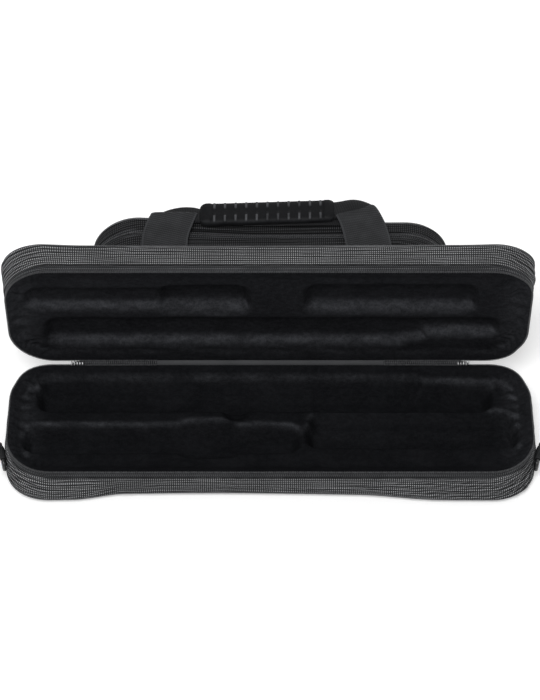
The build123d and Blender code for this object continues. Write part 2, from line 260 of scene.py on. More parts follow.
class Finish(Graph):
    """A material and its Principled shader."""

    def __init__(self, name, **constants):
        self.material = bpy.data.materials.new(name)
        self.material.use_nodes = True
        super().__init__(self.material.node_tree)
        self.shader = self.tree.nodes["Principled BSDF"]
        for socket, value in constants.items():
            self.shader.inputs[socket.replace("_", " ")].default_value = value

    def mix(self, share, first, second):
        """A colour between two colours."""
        wires = [v if isinstance(v, Wire) else (*v, 1) for v in (first, second)]
        return self.add("ShaderNodeMix", {"data_type": "RGBA"}, share, *wires)

    def noise(self, place, scale, detail=2.0):
        return self.add("ShaderNodeTexNoise", {}, place, scale, detail, output="Fac")

    def place(self):
        """Where a point is, in metres, in the piece's own space."""
        return self.add("ShaderNodeTexCoord", {}, output="Object")

    def stretch(self, place, scale):
        """The same place with each axis scaled, for grain that runs one way."""
        return self.add("ShaderNodeVectorMath", {"operation": "MULTIPLY"}, place, scale)

    def cloth(self):
        """The two cloth coordinates of a point, in metres."""
        flat = self.add("ShaderNodeUVMap", {"uv_map": "cloth"})
        split = self.add("ShaderNodeSeparateXYZ", {}, flat)
        return split, Wire(self, split.socket.node.outputs["Y"])

    def paint(self, socket, value):
        self.tree.links.new(value.socket, self.shader.inputs[socket])

    def colour(self, share, dark, light):
        """Paints the base colour: dark where the share is 0 and light where it is 1."""
        self.paint("Base Color", self.mix(share, dark, light))

    def relief(self, height, distance, strength=1.0):
        """Small relief that only bends the light: height is from 0 to 1, distance in metres."""
        bump = self.add("ShaderNodeBump", {}, Strength=strength, Distance=distance, Height=height)
        self.paint("Normal", bump)


print("shader helper ready")

# %% [markdown]
# ## Finishes
# **Cover cloth.** A two-tone weave: a black ground with short light threads that come up in a regular grid
# of dots. The cloth coordinates run along the outline and across the band, so the grid bends round the
# corners as real cloth does. The pocket's side walls are the same weave, dyed darker.

# %% Cover cloth
dot_pitch, dot_row_pitch, thread_pitch = 1.65 * MM, 2.05 * MM, 0.55 * MM


def cover_cloth(name, light, ground):
    finish = Finish(name, Roughness=0.9, Specular_IOR_Level=0.12)
    along, across = finish.cloth()
    place = finish.place()
    drift = finish.noise(place, 60, 3) * (1.1 * MM)
    column = (along + drift).wave(dot_pitch)
    row = (across + drift).wave(dot_row_pitch)
    thread = (along + across * 0.35).wave(thread_pitch)
    dots = (column * row).step(0.22, 0.8)
    haze = finish.noise(place, 26, 3).step(0.3, 0.75)
    fluff = finish.noise(place, 1400).step(0.35, 0.8)
    share = dots * (0.55 + 0.45 * thread) * (0.75 + 0.35 * haze) + 0.06 * fluff
    finish.colour(share.at_most(1.0), ground, light)
    finish.relief(0.55 * dots + 0.3 * thread + 0.25 * fluff, 0.22 * MM)
    return finish


cover_finish = cover_cloth("woven_cover", light=(0.47, 0.475, 0.49), ground=(0.0115, 0.0118, 0.0125))
pocket_finish = cover_cloth("pocket_cover", light=(0.088, 0.0897, 0.0942), ground=(0.0045, 0.0047, 0.0052))
print("cover cloth ready")

# %% [markdown]
# ** Plush lining.** Short black pile, nearly black where it lies flat, with brushed patches. The lining's mesh
# carries painted light in its cloth coordinates: the pile is painted grey where light falls, on walls that
# face away from the hinge, on lips and over the whole lid, and lighter on the end rolls. Noise at three sizes
# gives the brushed patches, the flecks and the single tufts.

# %% Plush
plush_finish = Finish("plush_lining", Roughness=1.0, Specular_IOR_Level=0.02)
painted_light, _ = plush_finish.cloth()
place = plush_finish.place()
brushed = plush_finish.noise(place, 38, 4).step(0.35, 0.72)
flecks = plush_finish.noise(plush_finish.stretch(place, (230, 330, 330)), 1.0, 3).step(0.35, 0.7)
tufts = plush_finish.noise(place, 900).step(0.3, 0.75)
lying = 0.05 * brushed + 0.06 * tufts + 0.05 * flecks
# Painted light: the share carried in the mesh paints the pile grey where light falls.
share = lying + painted_light * (1 / MM) * (0.4 + 0.3 * tufts + 0.35 * flecks)
plush_finish.colour(share.at_most(1.0), (0.0044, 0.0046, 0.0054), (0.043, 0.0445, 0.0495))
plush_finish.relief(0.6 * tufts + 0.5 * brushed, 0.35 * MM, strength=0.6)
print("plush ready")

# %% [markdown]
# **Zip tape, teeth, piping and hinge cloth.** The narrow goods are woven with ribs along them and threads
# across. Where the two cross, the zip tape's threads come up as a grid of small light dots; the other goods
# are plainer. The teeth are a nylon coil, smooth and a little shiny. The piping is a thin folded cord, and
# the hinge cloth a plain lighter strip, darker on the pocket.


# %% Narrow woven goods
def narrow_weave(name, dark, light, rib, cross, dotted=0.0):
    """Cloth with long ribs side by side at one pitch and threads across them at another."""
    finish = Finish(name, Roughness=0.85, Specular_IOR_Level=0.12)
    along, across = finish.cloth()
    place = finish.place()
    ribs = across.wave(rib * MM)
    threads = (along + across * 0.2).wave(cross * MM)
    wear = finish.noise(place, 60, 3).step(0.3, 0.8)
    dust = finish.noise(place, 1600).step(0.4, 0.8)
    plain = 0.4 * ribs + 0.3 * threads * ribs
    share = (1 - dotted) * plain + dotted * (ribs * threads).step(0.15, 0.75) + 0.16 * wear + 0.1 * dust
    finish.colour(share, dark, light)
    finish.relief(0.6 * ribs + 0.35 * threads, 0.12 * MM)
    return finish


tape_finish = narrow_weave("zip_tape", (0.0035, 0.0036, 0.004), (0.082, 0.084, 0.0895), 1.75, 1.65, 0.8)
piping_finish = narrow_weave("seam_piping", (0.02, 0.0205, 0.0215), (0.26, 0.263, 0.272), 1.1, 0.9)
hinge_finish = narrow_weave("hinge_cloth", (0.03, 0.031, 0.033), (0.095, 0.0965, 0.101), 0.7, 0.6)
pocket_hinge_finish = narrow_weave("pocket_hinge_cloth", (0.01, 0.0103, 0.0112), (0.042, 0.043, 0.0455),
                                   0.7, 0.6)
thread_finish = narrow_weave("seam_thread", (0.06, 0.061, 0.063), (0.17, 0.173, 0.18), 0.4, 0.4)

teeth_finish = Finish("zip_teeth", Specular_IOR_Level=0.35)
mottle = teeth_finish.noise(teeth_finish.place(), 700)
teeth_finish.colour(mottle, (0.016, 0.0164, 0.0174), (0.075, 0.0765, 0.081))
teeth_finish.paint("Roughness", 0.3 + 0.25 * mottle)
print("narrow goods ready")

# %% [markdown]
# ** Webbing.** Polyester webbing about 37 mm wide: a fine rib across, and a smooth, slightly lighter
# selvedge along both edges. The ring tabs are darker webbing, and the handle's sleeves are the same webbing
# painted darker as painted shade; both have other widths.

# %% Webbing
strap_width, sleeve_width, tab_width = 37.0, 30.0, 13.0


def strap_webbing(name, width, dark, light):
    finish = Finish(name, Roughness=0.75, Specular_IOR_Level=0.15)
    across, along = finish.cloth()
    place = finish.place()
    ribs = (along + across * 0.25).wave(1.9 * MM)
    warp = across.wave(1.5 * MM)
    from_middle = abs(across - width * MM / 2)
    edge = from_middle.step((width / 2 - 1.9) * MM, (width / 2 - 1.1) * MM)
    wear = finish.noise(place, 90, 3).step(0.3, 0.75)
    fuzz = finish.noise(place, 1500).step(0.35, 0.8)
    share = (0.3 * ribs + 0.3 * ribs * warp + 0.2 * wear + 0.16 * fuzz) * (1 - 0.3 * edge) + 0.45 * edge
    finish.colour(share.at_most(1.0), dark, light)
    finish.relief(0.6 * ribs * (1 - edge) + 0.3 * warp + 0.2 * fuzz, 0.2 * MM)
    return finish


webbing_finish = strap_webbing("webbing", strap_width, (0.006, 0.0062, 0.0068), (0.043, 0.0445, 0.0478))
# Painted shade: the sleeves' webbing is the strap's webbing painted darker.
shaded_webbing_finish = strap_webbing("webbing_dark", sleeve_width, (0.003, 0.0031, 0.0036), (0.016, 0.0165, 0.018))
tab_finish = strap_webbing("webbing_tab", tab_width, (0.005, 0.0051, 0.0056), (0.022, 0.0227, 0.0245))
print("webbing ready")

# %% [markdown]
# ** Grip, rings, sliders and foam.** Moulded rubber is dark, with a painted grey highlight on its ribs; the rings are
# black plastic with fine scuffs; the sliders are bright plated metal with rubbed edges. The foam hides
# under the lining, but a maker would still see open cells.

# %% Moulded and metal parts
grip_finish = Finish("grip_rubber", Specular_IOR_Level=0.06)
painted_glint, _ = grip_finish.cloth()
grain = grip_finish.noise(grip_finish.place(), 900, 3)
glint_patches = grip_finish.noise(grip_finish.place(), 70).step(0.25, 0.7)
# Painted highlight: grey where light glints on the ribs and the inner edge, stronger in patches.
share = (0.1 * grain + painted_glint * (1 / MM) * (0.25 + 0.75 * glint_patches) * (0.5 + 0.5 * grain)).at_most(1.0)
grip_finish.colour(share, (0.0018, 0.0019, 0.0024), (0.085, 0.087, 0.093))
grip_finish.paint("Roughness", 0.4 + 0.25 * grain)
grip_finish.relief(grain, 0.1 * MM, strength=0.6)

ring_finish = Finish("ring_plastic", Specular_IOR_Level=0.4)
scuff = ring_finish.noise(ring_finish.place(), 420, 4).step(0.45, 0.75)
ring_finish.colour(scuff, (0.009, 0.009, 0.0095), (0.035, 0.035, 0.037))
ring_finish.paint("Roughness", 0.26 + 0.35 * scuff)

slider_finish = Finish("slider_metal", Metallic=1.0)
rub = slider_finish.noise(slider_finish.place(), 520, 4).step(0.4, 0.8)
slider_finish.colour(rub, (0.3, 0.3, 0.305), (0.66, 0.66, 0.67))
slider_finish.paint("Roughness", 0.24 + 0.3 * rub)

foam_finish = Finish("padding_foam", Roughness=1.0)
cells = foam_finish.add("ShaderNodeTexVoronoi", {}, foam_finish.place(), Scale=900, output="Distance")
foam_finish.colour(cells, (0.02, 0.02, 0.021), (0.07, 0.07, 0.072))
foam_finish.relief(cells, 0.3 * MM)
print("finishes:", len(bpy.data.materials))

# %% [markdown]
# ## Mesh helper
# Every soft piece here is a grid of points that is bent into shape. One function turns points and faces
# into a piece: it merges doubles where a grid closes on itself, turns all faces outwards, smooths the
# shading but keeps real edges sharp, and stores the cloth coordinates. Most pieces are long: a closed
# section carried along a line, so a second function makes the faces, the cloth coordinates and the end caps
# of those.


# %% From points to pieces
def make_piece(name, points, faces, finish, slot, cloth=None, body=None, weld=False, sharp=50):
    mesh = bpy.data.meshes.new(name)
    mesh.from_pydata((np.asarray(points, float).reshape(-1, 3) * MM).tolist(), [], faces)
    if cloth is not None:
        layer = mesh.uv_layers.new(name="cloth")
        layer.data.foreach_set("uv", (np.asarray(cloth, np.float32) * MM).ravel())
    shape = bmesh.new()
    shape.from_mesh(mesh)
    if weld:
        bmesh.ops.remove_doubles(shape, verts=shape.verts, dist=0.004 * MM)
    bmesh.ops.recalc_face_normals(shape, faces=shape.faces)
    shape.to_mesh(mesh)
    shape.free()
    mesh.polygons.foreach_set("use_smooth", [True] * len(mesh.polygons))
    mesh.set_sharp_from_angle(angle=radians(sharp))
    piece = bpy.data.objects.new(name, mesh)
    bpy.context.scene.collection.objects.link(piece)
    mesh.materials.append(finish.material)
    if body is not None:
        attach(piece, body)
    return piece


def grid_faces(rows, columns, close_rows, close_columns):
    """Faces of a grid, and for each corner its row and column counted on past the closing line."""
    row, column = np.meshgrid(
        np.arange(rows if close_rows else rows - 1),
        np.arange(columns if close_columns else columns - 1),
        indexing="ij",
    )
    rows4 = np.stack([row, row + 1, row + 1, row], -1).reshape(-1, 4)
    columns4 = np.stack([column, column, column + 1, column + 1], -1).reshape(-1, 4)
    return (rows4 % rows) * columns + columns4 % columns, rows4, columns4


def carry(name, points, cloth_u, cloth_v, finish, slot, closed=False, **options):
    """A closed section carried along a line: a row of points for each place, and caps on an open line.

    The cloth coordinates have one column more than the section, and one row more than a closed line."""
    count, around = points.shape[:2]
    faces, rows, columns = grid_faces(count, around, closed, True)
    corners = (count + closed, around + 1)
    cloth = [np.broadcast_to(v, corners)[rows, columns] for v in (cloth_u, cloth_v)]
    cloth = np.stack(cloth, -1).reshape(-1, 2)
    faces = faces.tolist()
    if not closed:
        last = (count - 1) * around
        faces += [list(range(around)), list(range(last, last + around))]
        cloth = np.vstack([cloth, np.zeros((2 * around, 2))])
    return make_piece(name, points, faces, finish, slot, cloth, **options)


def walked(line):
    """Distance along a line to each of its points."""
    return np.concatenate([[0], np.cumsum(np.linalg.norm(np.diff(line, axis=0), axis=1))])


def girth(section):
    """Distance round a closed section to each of its points, and back to the first."""
    return walked(np.vstack([section, section[:1]]))


def thin_section(inset, levels, thick):
    """The closed section of a thin strip: out along the levels and back at its thickness."""
    outer = np.stack([inset + 0 * levels, levels], -1)
    return np.vstack([outer, (outer + (thick, 0))[::-1]])


def round_section(inset, level, wide, high, count):
    """The closed section of a cord."""
    turns = np.linspace(0, 2 * pi, count, endpoint=False)
    return np.stack([inset + wide * np.cos(turns), level + high * np.sin(turns)], -1)


def ripple(u, v, seed, u_size, v_size, waves=7):
    """A few long waves laid over each other: the same for the same seed, about from -1 to 1."""
    random = np.random.default_rng(seed)
    total = 0
    for _ in range(waves):
        u_turns = random.uniform(0.5, 1.6) * random.choice([-1, 1]) / u_size
        v_turns = random.uniform(0.5, 1.6) / v_size
        total = total + np.sin(2 * pi * (u_turns * u + v_turns * v) + random.uniform(0, 2 * pi))
    return total / waves**0.5 / 1.3


print("mesh helper ready")

# %% [markdown]
# ## Walking round the case
# The bands, tapes, piping and teeth all follow the same rounded outline. A walk lists points on it with
# their outward direction and the distance walked. A walk with a gap leaves the hinge free, as the zip does.
# A sweep carries a section along a walk, and lets a function bend it on the way.


# %% Outline walk
def walk(half, low, high, near, far, step=2.0, gap=None):
    """Points round a rounded rectangle that starts and ends at the middle of the hinge side."""
    corner_step = radians(3.5)
    runs = []

    def line(x0, a0, x1, a1, nx, na):
        count = max(2, int(round(np.hypot(x1 - x0, a1 - a0) / step)))
        t = np.arange(count) / count
        runs.append(np.stack([x0 + (x1 - x0) * t, a0 + (a1 - a0) * t, nx + 0 * t, na + 0 * t], -1))

    def arc(x, a, radius, start):
        turn = start + np.arange(0, pi / 2 - 1e-6, corner_step)
        across, up = np.cos(turn), np.sin(turn)
        runs.append(np.stack([x + radius * across, a + radius * up, across, up], -1))

    begin = 0 if gap is None else gap
    line(begin, low, half - near, low, 0, -1)
    arc(half - near, low + near, near, -pi / 2)
    line(half, low + near, half, high - far, 1, 0)
    arc(half - far, high - far, far, 0)
    line(half - far, high, far - half, high, 0, 1)
    arc(far - half, high - far, far, pi / 2)
    line(-half, high - far, -half, low + near, -1, 0)
    arc(near - half, low + near, near, pi)
    line(near - half, low, -begin, low, 0, -1)
    if gap is not None:
        runs.append(np.array([[-begin, low, 0, -1]], float))
    x, a, nx, na = np.concatenate(runs).T
    ahead = np.hypot(np.diff(np.append(x, x[0])), np.diff(np.append(a, a[0])))
    run = np.concatenate([[0], np.cumsum(ahead)])
    return SimpleNamespace(x=x, a=a, nx=nx, na=na, run=run, closed=gap is None, count=len(x))


def sweep(name, half, path, section, finish, slot, body, shape=None):
    """A closed section of (inset, w) points carried along a walk."""
    inset, w = (np.repeat(section[None, :, k], path.count, 0) for k in (0, 1))
    if shape is not None:
        inset, w = shape(half, path, inset, w)
    x = path.x[:, None] - path.nx[:, None] * inset
    a = path.a[:, None] - path.na[:, None] * inset
    corner_slant = 3.2 * np.abs(path.nx * path.na)
    places = path.count + path.closed
    slant = np.append(corner_slant, corner_slant[0])[:places, None]
    return carry(name, half.place(x, a, w), path.run[:places, None], girth(section) + slant, finish, slot,
                 path.closed, body=body)


case_walk = walk(half_length, 0, depth, corner_radius, corner_radius)
zip_walk = walk(half_length, 0, depth, corner_radius, corner_radius, gap=hinge_half)
print(f"outline {case_walk.run[-1]:.0f} mm, {case_walk.count} steps")


# %% [markdown]
# ## Cover: side bands
# The side wall of each half is a band of cover cloth between the zip tape and the seam near the outer edge.
# The foam inside is soft, so the long walls pull in a little towards the seam between the corners, and the
# cloth buckles in long, low wrinkles. The band is a closed strip a little over a millimetre thick.

# %% How the soft walls lean
lean_centre = -45.0
crease_height = 0.62


def rounding(w, height):
    """How far the outer edge's rounding draws the skin in at a depth."""
    over = np.clip(w - (height - edge_radius), 0, edge_radius)
    return edge_radius - np.sqrt(np.maximum(edge_radius**2 - over**2, 0))


def slump(half, path, w):
    """The soft wall's lean: long sides pull in towards the outer edge between the corners."""
    middle = np.cos(np.clip((path.x - lean_centre) / half_length, -1, 1) * pi / 2) ** 2 * np.abs(path.na) ** 3
    return half.tuck * middle[:, None] * ease((w - 9) / (half.height - 10))


def wrinkles(half, path, w):
    """Long creases along the band, and shorter slanting ones where it nears and turns the corners."""
    run = path.run[: path.count, None]
    corner = (4 * path.nx**2 * path.na**2)[:, None]
    shoulder = ease((np.abs(path.x) - 70) / 60)[:, None]
    inner = ease((w - tape_width) / 4) * ease((half.height - w) / 4)
    long_ones = ripple(run, w, half.seed, 190, 7.5) + 0.7 * np.abs(ripple(run, w, half.seed + 20, 150, 9))
    slanted = ripple(run, w * 1.5 + run * 0.22, half.seed + 1, 42, 8)
    return crease_height * inner * (long_ones + (0.5 * shoulder + 0.9 * corner) * slanted)


print("long walls lean in by up to", tray.tuck, "and", lid.tuck, "mm")

# %% Side bands
seam_height = 5.0
skin = 1.3
under_tape, short_of_seam, level_step = 0.4, 0.2, 0.85
tucked_under = 0.3
band_inset = 0.2


def band_shape(half, path, inset, w):
    return inset + slump(half, path, w) - wrinkles(half, path, w) + band_inset, w


for half in (tray, lid):
    seam = half.height - seam_height
    levels = np.arange(tape_width - under_tape, seam - short_of_seam, level_step)
    section = thin_section(rounding(levels, half.height), levels, skin)
    section[0, 0] += tucked_under
    band = sweep(f"{half.name}_cover_band", half, case_walk, section, cover_finish, "woven_cover", half.name,
                 band_shape)
    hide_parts(f"{half.name}_side_band")
    print(band.name, len(band.data.vertices), "points")

# %% [markdown]
# ## Cover: outer panels
# The panel closes the half. It turns over the rounded edge and lies flat. Rings of points follow the
# outline inwards until they meet on a middle line, which keeps the faces even; the weave is laid flat over
# it. A second layer below, joined at the border and the middle line, gives the cloth its thickness.

# %% Outer panels
edge_rings, flat_rings = 6, 11
middle_line_short = 58.0


def panel(name, half, path, start_w, height, radius, middle_half, middle_a, body, shape):
    """Rings from the outline over a rounded edge to a middle line, and the same again below."""
    turn = np.linspace(np.arcsin(min(1, (start_w - (height - radius)) / radius)), pi / 2, edge_rings)[:, None]
    share = np.linspace(0, 1, flat_rings + 1)[1:, None]
    inset = radius - radius * np.cos(turn)
    x, a = path.x - path.nx * inset, path.a - path.na * inset
    middle_x = np.clip(path.x, -middle_half, middle_half)
    x = np.vstack([x, x[-1] * (1 - share) + middle_x * share])
    a = np.vstack([a, a[-1] * (1 - share) + middle_a * share])
    w = np.vstack([height - radius + radius * np.sin(turn), height + 0 * share]) + 0 * x
    x, a, w = shape(half, path, x, a, w)
    count = len(x)
    x, a, w = (np.vstack([v, v[::-1]]) for v in (x, a, w))
    w[count:] -= skin
    inwards = np.zeros_like(w)
    inwards[-edge_rings:] = skin * (1 - np.linspace(1, 0, edge_rings))[:, None]
    x, a = x - path.nx * inwards, a - path.na * inwards
    faces, _, _ = grid_faces(len(x), path.count, True, True)
    cloth = np.stack([x, a], -1).reshape(-1, 2)[faces].reshape(-1, 2)
    return make_piece(name, half.place(x, a, w), faces.tolist(), cover_finish, "woven_cover", cloth, body,
                      weld=True)


def fade_inwards(w, power):
    """1 on the rings of the rounded edge, then falling to 0 on the middle line."""
    fade = np.ones_like(w)
    fade[edge_rings:] = np.linspace(1, 0, len(w) - edge_rings)[:, None] ** power
    return fade


def panel_shape(half, path, x, a, w):
    lean = slump(half, path, w[0][:, None])[:, 0]
    fade = fade_inwards(w, 2)
    return x - path.nx * lean * fade, a - path.na * lean * fade, w


for half in (tray, lid):
    piece = panel(f"{half.name}_cover_panel", half, case_walk, half.height - seam_height + short_of_seam,
                  half.height, edge_radius, half_length - middle_line_short, depth / 2, half.name,
                  panel_shape)
    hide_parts(f"{half.name}_outer_panel")
    print(piece.name, len(piece.data.vertices), "points")

# %% [markdown]
# ## Seam piping
# A thin cord of folded cloth sits in the seam between band and panel. A round section carried along the
# outline does it.

# %% Piping
piping_wide, piping_high, piping_sunk = 0.85, 0.8, 0.25


def cord_shape(half, path, inset, w):
    return inset + slump(half, path, w), w


for half in (tray, lid):
    level = half.height - seam_height
    at = float(rounding(np.array(level), half.height))
    cord = round_section(at + piping_sunk, level, piping_wide, piping_high, 10)
    piping = sweep(f"{half.name}_piping", half, case_walk, cord, piping_finish, "seam_piping", half.name,
                   cord_shape)
    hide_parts(f"{half.name}_seam_welt")
print("piping", piping_high, "mm radius")

# %% [markdown]
# ## Zip: tapes, coil teeth and stitches
# Each half carries one zip tape that stands on the band and stops at the hinge strip. Along its free edge
# runs a nylon coil, which shows as a row of small lumps 1.3 mm apart. A line of stitches holds the tape to
# the band. Hundreds of lumps are one mesh: a small rounded lump copied along the walk with numpy.


# %% Lumps along a walk
def lump_shape(around=8, levels=4):
    """A small ball of points between two poles, and its faces."""
    points = [(0, 0, 1)]
    for k in range(1, levels):
        tilt = pi * k / levels
        for j in range(around):
            turn = 2 * pi * j / around
            points.append((sin(tilt) * cos(turn), sin(tilt) * sin(turn), cos(tilt)))
    points.append((0, 0, -1))
    faces = [[0, 1 + j, 1 + (j + 1) % around] for j in range(around)]
    for k in range(levels - 2):
        low, high = 1 + k * around, 1 + (k + 1) * around
        faces += [[low + j, high + j, high + (j + 1) % around, low + (j + 1) % around] for j in range(around)]
    last = 1 + (levels - 2) * around
    faces += [[len(points) - 1, last + (j + 1) % around, last + j] for j in range(around)]
    return np.array(points), faces


ball, ball_faces = lump_shape()


def scatter(name, centres, axes, finish, slot, body=None):
    """One mesh of lumps: centres (n, 3) and three half axes (n, 3, 3), in millimetres."""
    points = centres[:, None, :] + np.einsum("pk,nkd->npd", ball, axes)
    faces = [[i + n * len(ball) for i in face] for n in range(len(centres)) for face in ball_faces]
    return make_piece(name, points, faces, finish, slot, body=body, sharp=80)


def row_of_lumps(name, half, path, pitch, inset, w, sizes, finish, slot, body, shape=None):
    """Lumps at an even pitch along an open walk. Their sizes: along it, inwards and along w."""
    knots = path.run[: path.count]
    runs = np.arange(pitch / 2, knots[-1], pitch)
    x, a, nx, na = (np.interp(runs, knots, v) for v in (path.x, path.a, path.nx, path.na))
    if shape is not None:
        inset, w = shape(x, nx, na, inset, w)
    zero = 0 * x
    at = half.place(x - nx * inset, a - na * inset, w + zero)
    ways = ((-na, nx, zero), (nx, na, zero), (zero, zero, 1 + zero))
    origin = half.place(zero, zero, zero)
    axes = np.stack([(half.place(*way) - origin) * size for way, size in zip(ways, sizes)], 1)
    return scatter(name, at, axes, finish, slot, body)


print("a lump has", len(ball), "points")

# %% Main zip
tooth_pitch, stitch_pitch = 1.3, 1.65
tape_inset, tape_thick, tape_belly = 1.35, 1.0, 0.25
tape_start, tape_overlap = 1.0, 0.9
teeth_inset, teeth_level = 1.6, 0.85
stitch_inset, stitch_to_edge = 1.2, 3.9


def tape_shape(half, path, inset, w):
    run = path.run[: path.count, None]
    return inset + 0.22 * ripple(run, w, half.seed + 5, 120, 30), w


for half in (tray, lid):
    levels = np.linspace(tape_start, tape_width + tape_overlap, 9)
    belly = tape_belly * np.sin((levels - tape_start) / tape_width * pi)
    tape = sweep(f"{half.name}_tape", half, zip_walk, thin_section(tape_inset - belly, levels, tape_thick),
                 tape_finish, "zip_tape", half.name, tape_shape)
    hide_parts(f"{half.name}_zip_tape")
    teeth = row_of_lumps(f"{half.name}_coil", half, zip_walk, tooth_pitch, teeth_inset, teeth_level,
                         (0.47, 0.95, 0.62), teeth_finish, "zip_teeth", half.name)
    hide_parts(f"{half.name}_zip_teeth")
    row_of_lumps(f"{half.name}_tape_stitches", half, zip_walk, stitch_pitch, stitch_inset,
                 tape_width - stitch_to_edge, (0.5, 0.2, 0.35), thread_finish, "zip_tape", half.name)
    print(half.name, "tape and", len(teeth.data.vertices) // len(ball), "teeth")

# %% [markdown]
# ## Plush linings
# The lining is moulded over the foam: from the zip it rolls down to a flat pad, with a well for each of the
# three joints of the flute. It is a height field: for each point of a grid we work out how deep the surface
# lies. A rounded box distance gives each well a soft edge, a small blur rounds the creases where wells
# meet, and gathers run round the corners of the rim. The grid's columns follow the rounded ends, so the
# edge is exact. A copy below closes the skin.

# %% Wells, as shares of the case's length, its depth and the half's height
tray.wells = [
    (-0.463, 0.051, 0.544, 0.741, 0.500),
    (-0.175, -0.058, 0.500, 0.785, 0.445),
    (-0.442, 0.419, 0.154, 0.368, 0.500),
    (-0.437, 0.291, 0.092, 0.250, 0.280),
    (-0.086, -0.044, 0.281, 0.456, 0.222),
    (0.072, 0.465, 0.509, 0.697, 0.500),
    (0.077, 0.460, 0.412, 0.601, 0.305),
]
lid.wells = [
    (-0.458, -0.200, 0.566, 0.763, 0.212),
    (-0.209, -0.042, 0.522, 0.789, 0.424),
    (0.067, 0.388, 0.539, 0.798, 0.318),
    (-0.426, 0.263, 0.171, 0.439, 0.288),
    (0.209, 0.437, 0.272, 0.439, 0.273),
    (0.219, 0.298, 0.214, 0.395, 0.242),
]
# The wall of a well reaches over its edge by the lip, and slopes over the wall's width.
tray.lip, lid.lip = 3.4, 2.8
tray.wall, lid.wall = 5.0, 4.6
# Painted light: how much lighter the pile is painted where light falls, on the walls, on the lips and
# everywhere.
tray.on_walls, lid.on_walls = 0.12, 1.0
tray.on_lips, lid.on_lips = 0.9, 0.25
tray.everywhere, lid.everywhere = 0.0, 0.15


def box_distance(x, a, x_mid, a_mid, x_half, a_half, radius):
    """Distance outside a rounded rectangle; negative inside."""
    qx, qa = np.abs(x - x_mid) - (x_half - radius), np.abs(a - a_mid) - (a_half - radius)
    return np.hypot(np.maximum(qx, 0), np.maximum(qa, 0)) + np.minimum(np.maximum(qx, qa), 0) - radius


def soften(field, times):
    """Averages each point of a grid with its neighbours; the border stays."""
    for _ in range(times):
        for axis in (0, 1):
            padded = np.concatenate([field.take([0], axis), field, field.take([-1], axis)], axis)
            before, after = (np.take(padded, np.arange(field.shape[axis]) + k, axis) for k in (0, 2))
            field = 0.25 * before + 0.5 * field + 0.25 * after
    return field


print("wells in the tray:", len(tray.wells), "and in the lid:", len(lid.wells))

# %% How deep the lining lies
rim_depth = 0.9


def lining_depth(half, x, a):
    """How deep the plush lies at (x, a)."""
    inside = -box_distance(x, a, 0, depth / 2, half_length, depth / 2, corner_radius)
    rim = rim_depth + (half.pad - rim_depth) * ease((inside - 2.2) / 11.5)
    well = np.zeros_like(x)
    for left, right, near, far, deep in half.wells:
        left, right = 2 * half_length * left, 2 * half_length * right
        near, far = depth * near, depth * far
        width = (far - near) / 2
        middle = (left + right) / 2, (near + far) / 2
        away = box_distance(x, a, *middle, (right - left) / 2, width, width * 0.7)
        share = (half.lip - away) / (half.lip + min(width - 1, half.wall))
        well = np.maximum(well, deep * half.height * ease(share))
    on_pad = ease((inside - 5) / 6)
    well = well * on_pad
    qx = np.abs(x) - (half_length - corner_radius)
    qa = np.abs(a - depth / 2) - (depth / 2 - corner_radius)
    turn = np.arctan2(np.maximum(qa, 0), np.maximum(qx, 1e-6))
    corner = ease(np.minimum(turn, pi / 2 - turn) / 0.5) * (qx > 0)
    roll = ease((inside - 3) / 4) * ease((26 - inside) / 12)
    gathers = np.sin(turn * 19 + 5 * ripple(x, a, half.seed + 11, 34, 34)) * corner
    ends = ease((np.abs(x) - half_length + 34) / 14)
    pleats = ripple(x, a, half.seed + 12, 60, 15) * (0.25 + 0.75 * ends)
    waves = ripple(x, a, half.seed + 13, 60, 40)
    return soften(rim + well, 3) + roll * (0.8 * gathers + 0.8 * pleats) + 0.35 * waves * on_pad


def painted_pile_light(half, x, a, depth_here):
    """Painted light on the pile, from 0 to 1.

    It is painted lighter where light falls: on walls that face away from the hinge, on lips and, by a share,
    everywhere. It is also lighter on the end rolls."""
    slope = np.gradient(depth_here, axis=1) / np.maximum(np.gradient(a, axis=1), 0.05)
    slope = soften(slope, 3)
    steepest = slope.copy()
    for reach in range(1, 7):
        steepest[:, reach:] = np.maximum(steepest[:, reach:], slope[:, :-reach])
        steepest[:, :-reach] = np.maximum(steepest[:, :-reach], slope[:, reach:])
    walls = ease((slope / np.maximum(steepest, 0.1) - 0.7) / 0.25) * ease((slope - 0.35) / 0.5)
    near_top = (1 - ease((depth_here - half.pad - 0.4) / 2.2)) * (depth_here > half.pad - 1)
    lips = ease((slope - 0.04) / 0.3) * near_top
    ends = ease((np.abs(x) - half_length + 34) / 20)
    patches = 0.72 + 0.28 * ripple(x, a, half.seed + 14, 46, 9)
    # Painted light: walls that face away from the hinge and the lips are painted lighter, and the lid gets a
    # painted share all over.
    painted_light = half.on_walls * walls + half.on_lips * lips
    away = 0.3 + 0.7 * ease((a - 14) / 22)
    return np.clip(half.everywhere * away + soften(painted_light * patches, 1) + 0.2 * ends, 0, 1)


print("pads lie", tray.pad, "and", lid.pad, "mm under the zip")


# %% Lining and foam
def pad_grid(inset, step):
    """Columns that follow the rounded ends, and rows from the hinge side to the far side."""
    reach, radius = half_length - inset, corner_radius - inset
    turn = np.arange(0, pi / 2 - 1e-6, step / radius)
    bend = reach - radius + radius * np.sin(turn)
    straight = np.linspace(radius - reach, reach - radius, int(2 * (reach - radius) / step))[1:-1]
    columns = np.concatenate([[-reach], -bend[::-1], straight, bend, [reach]])
    over = np.clip(np.abs(columns) - (reach - radius), 0, radius)
    low = inset + radius - np.sqrt(np.maximum(radius**2 - over**2, 0))
    rows = np.linspace(0, 1, int((depth - 2 * inset) / step))
    a = low[:, None] + (depth - 2 * low)[:, None] * rows[None, :]
    return np.repeat(columns[:, None], len(rows), 1), a


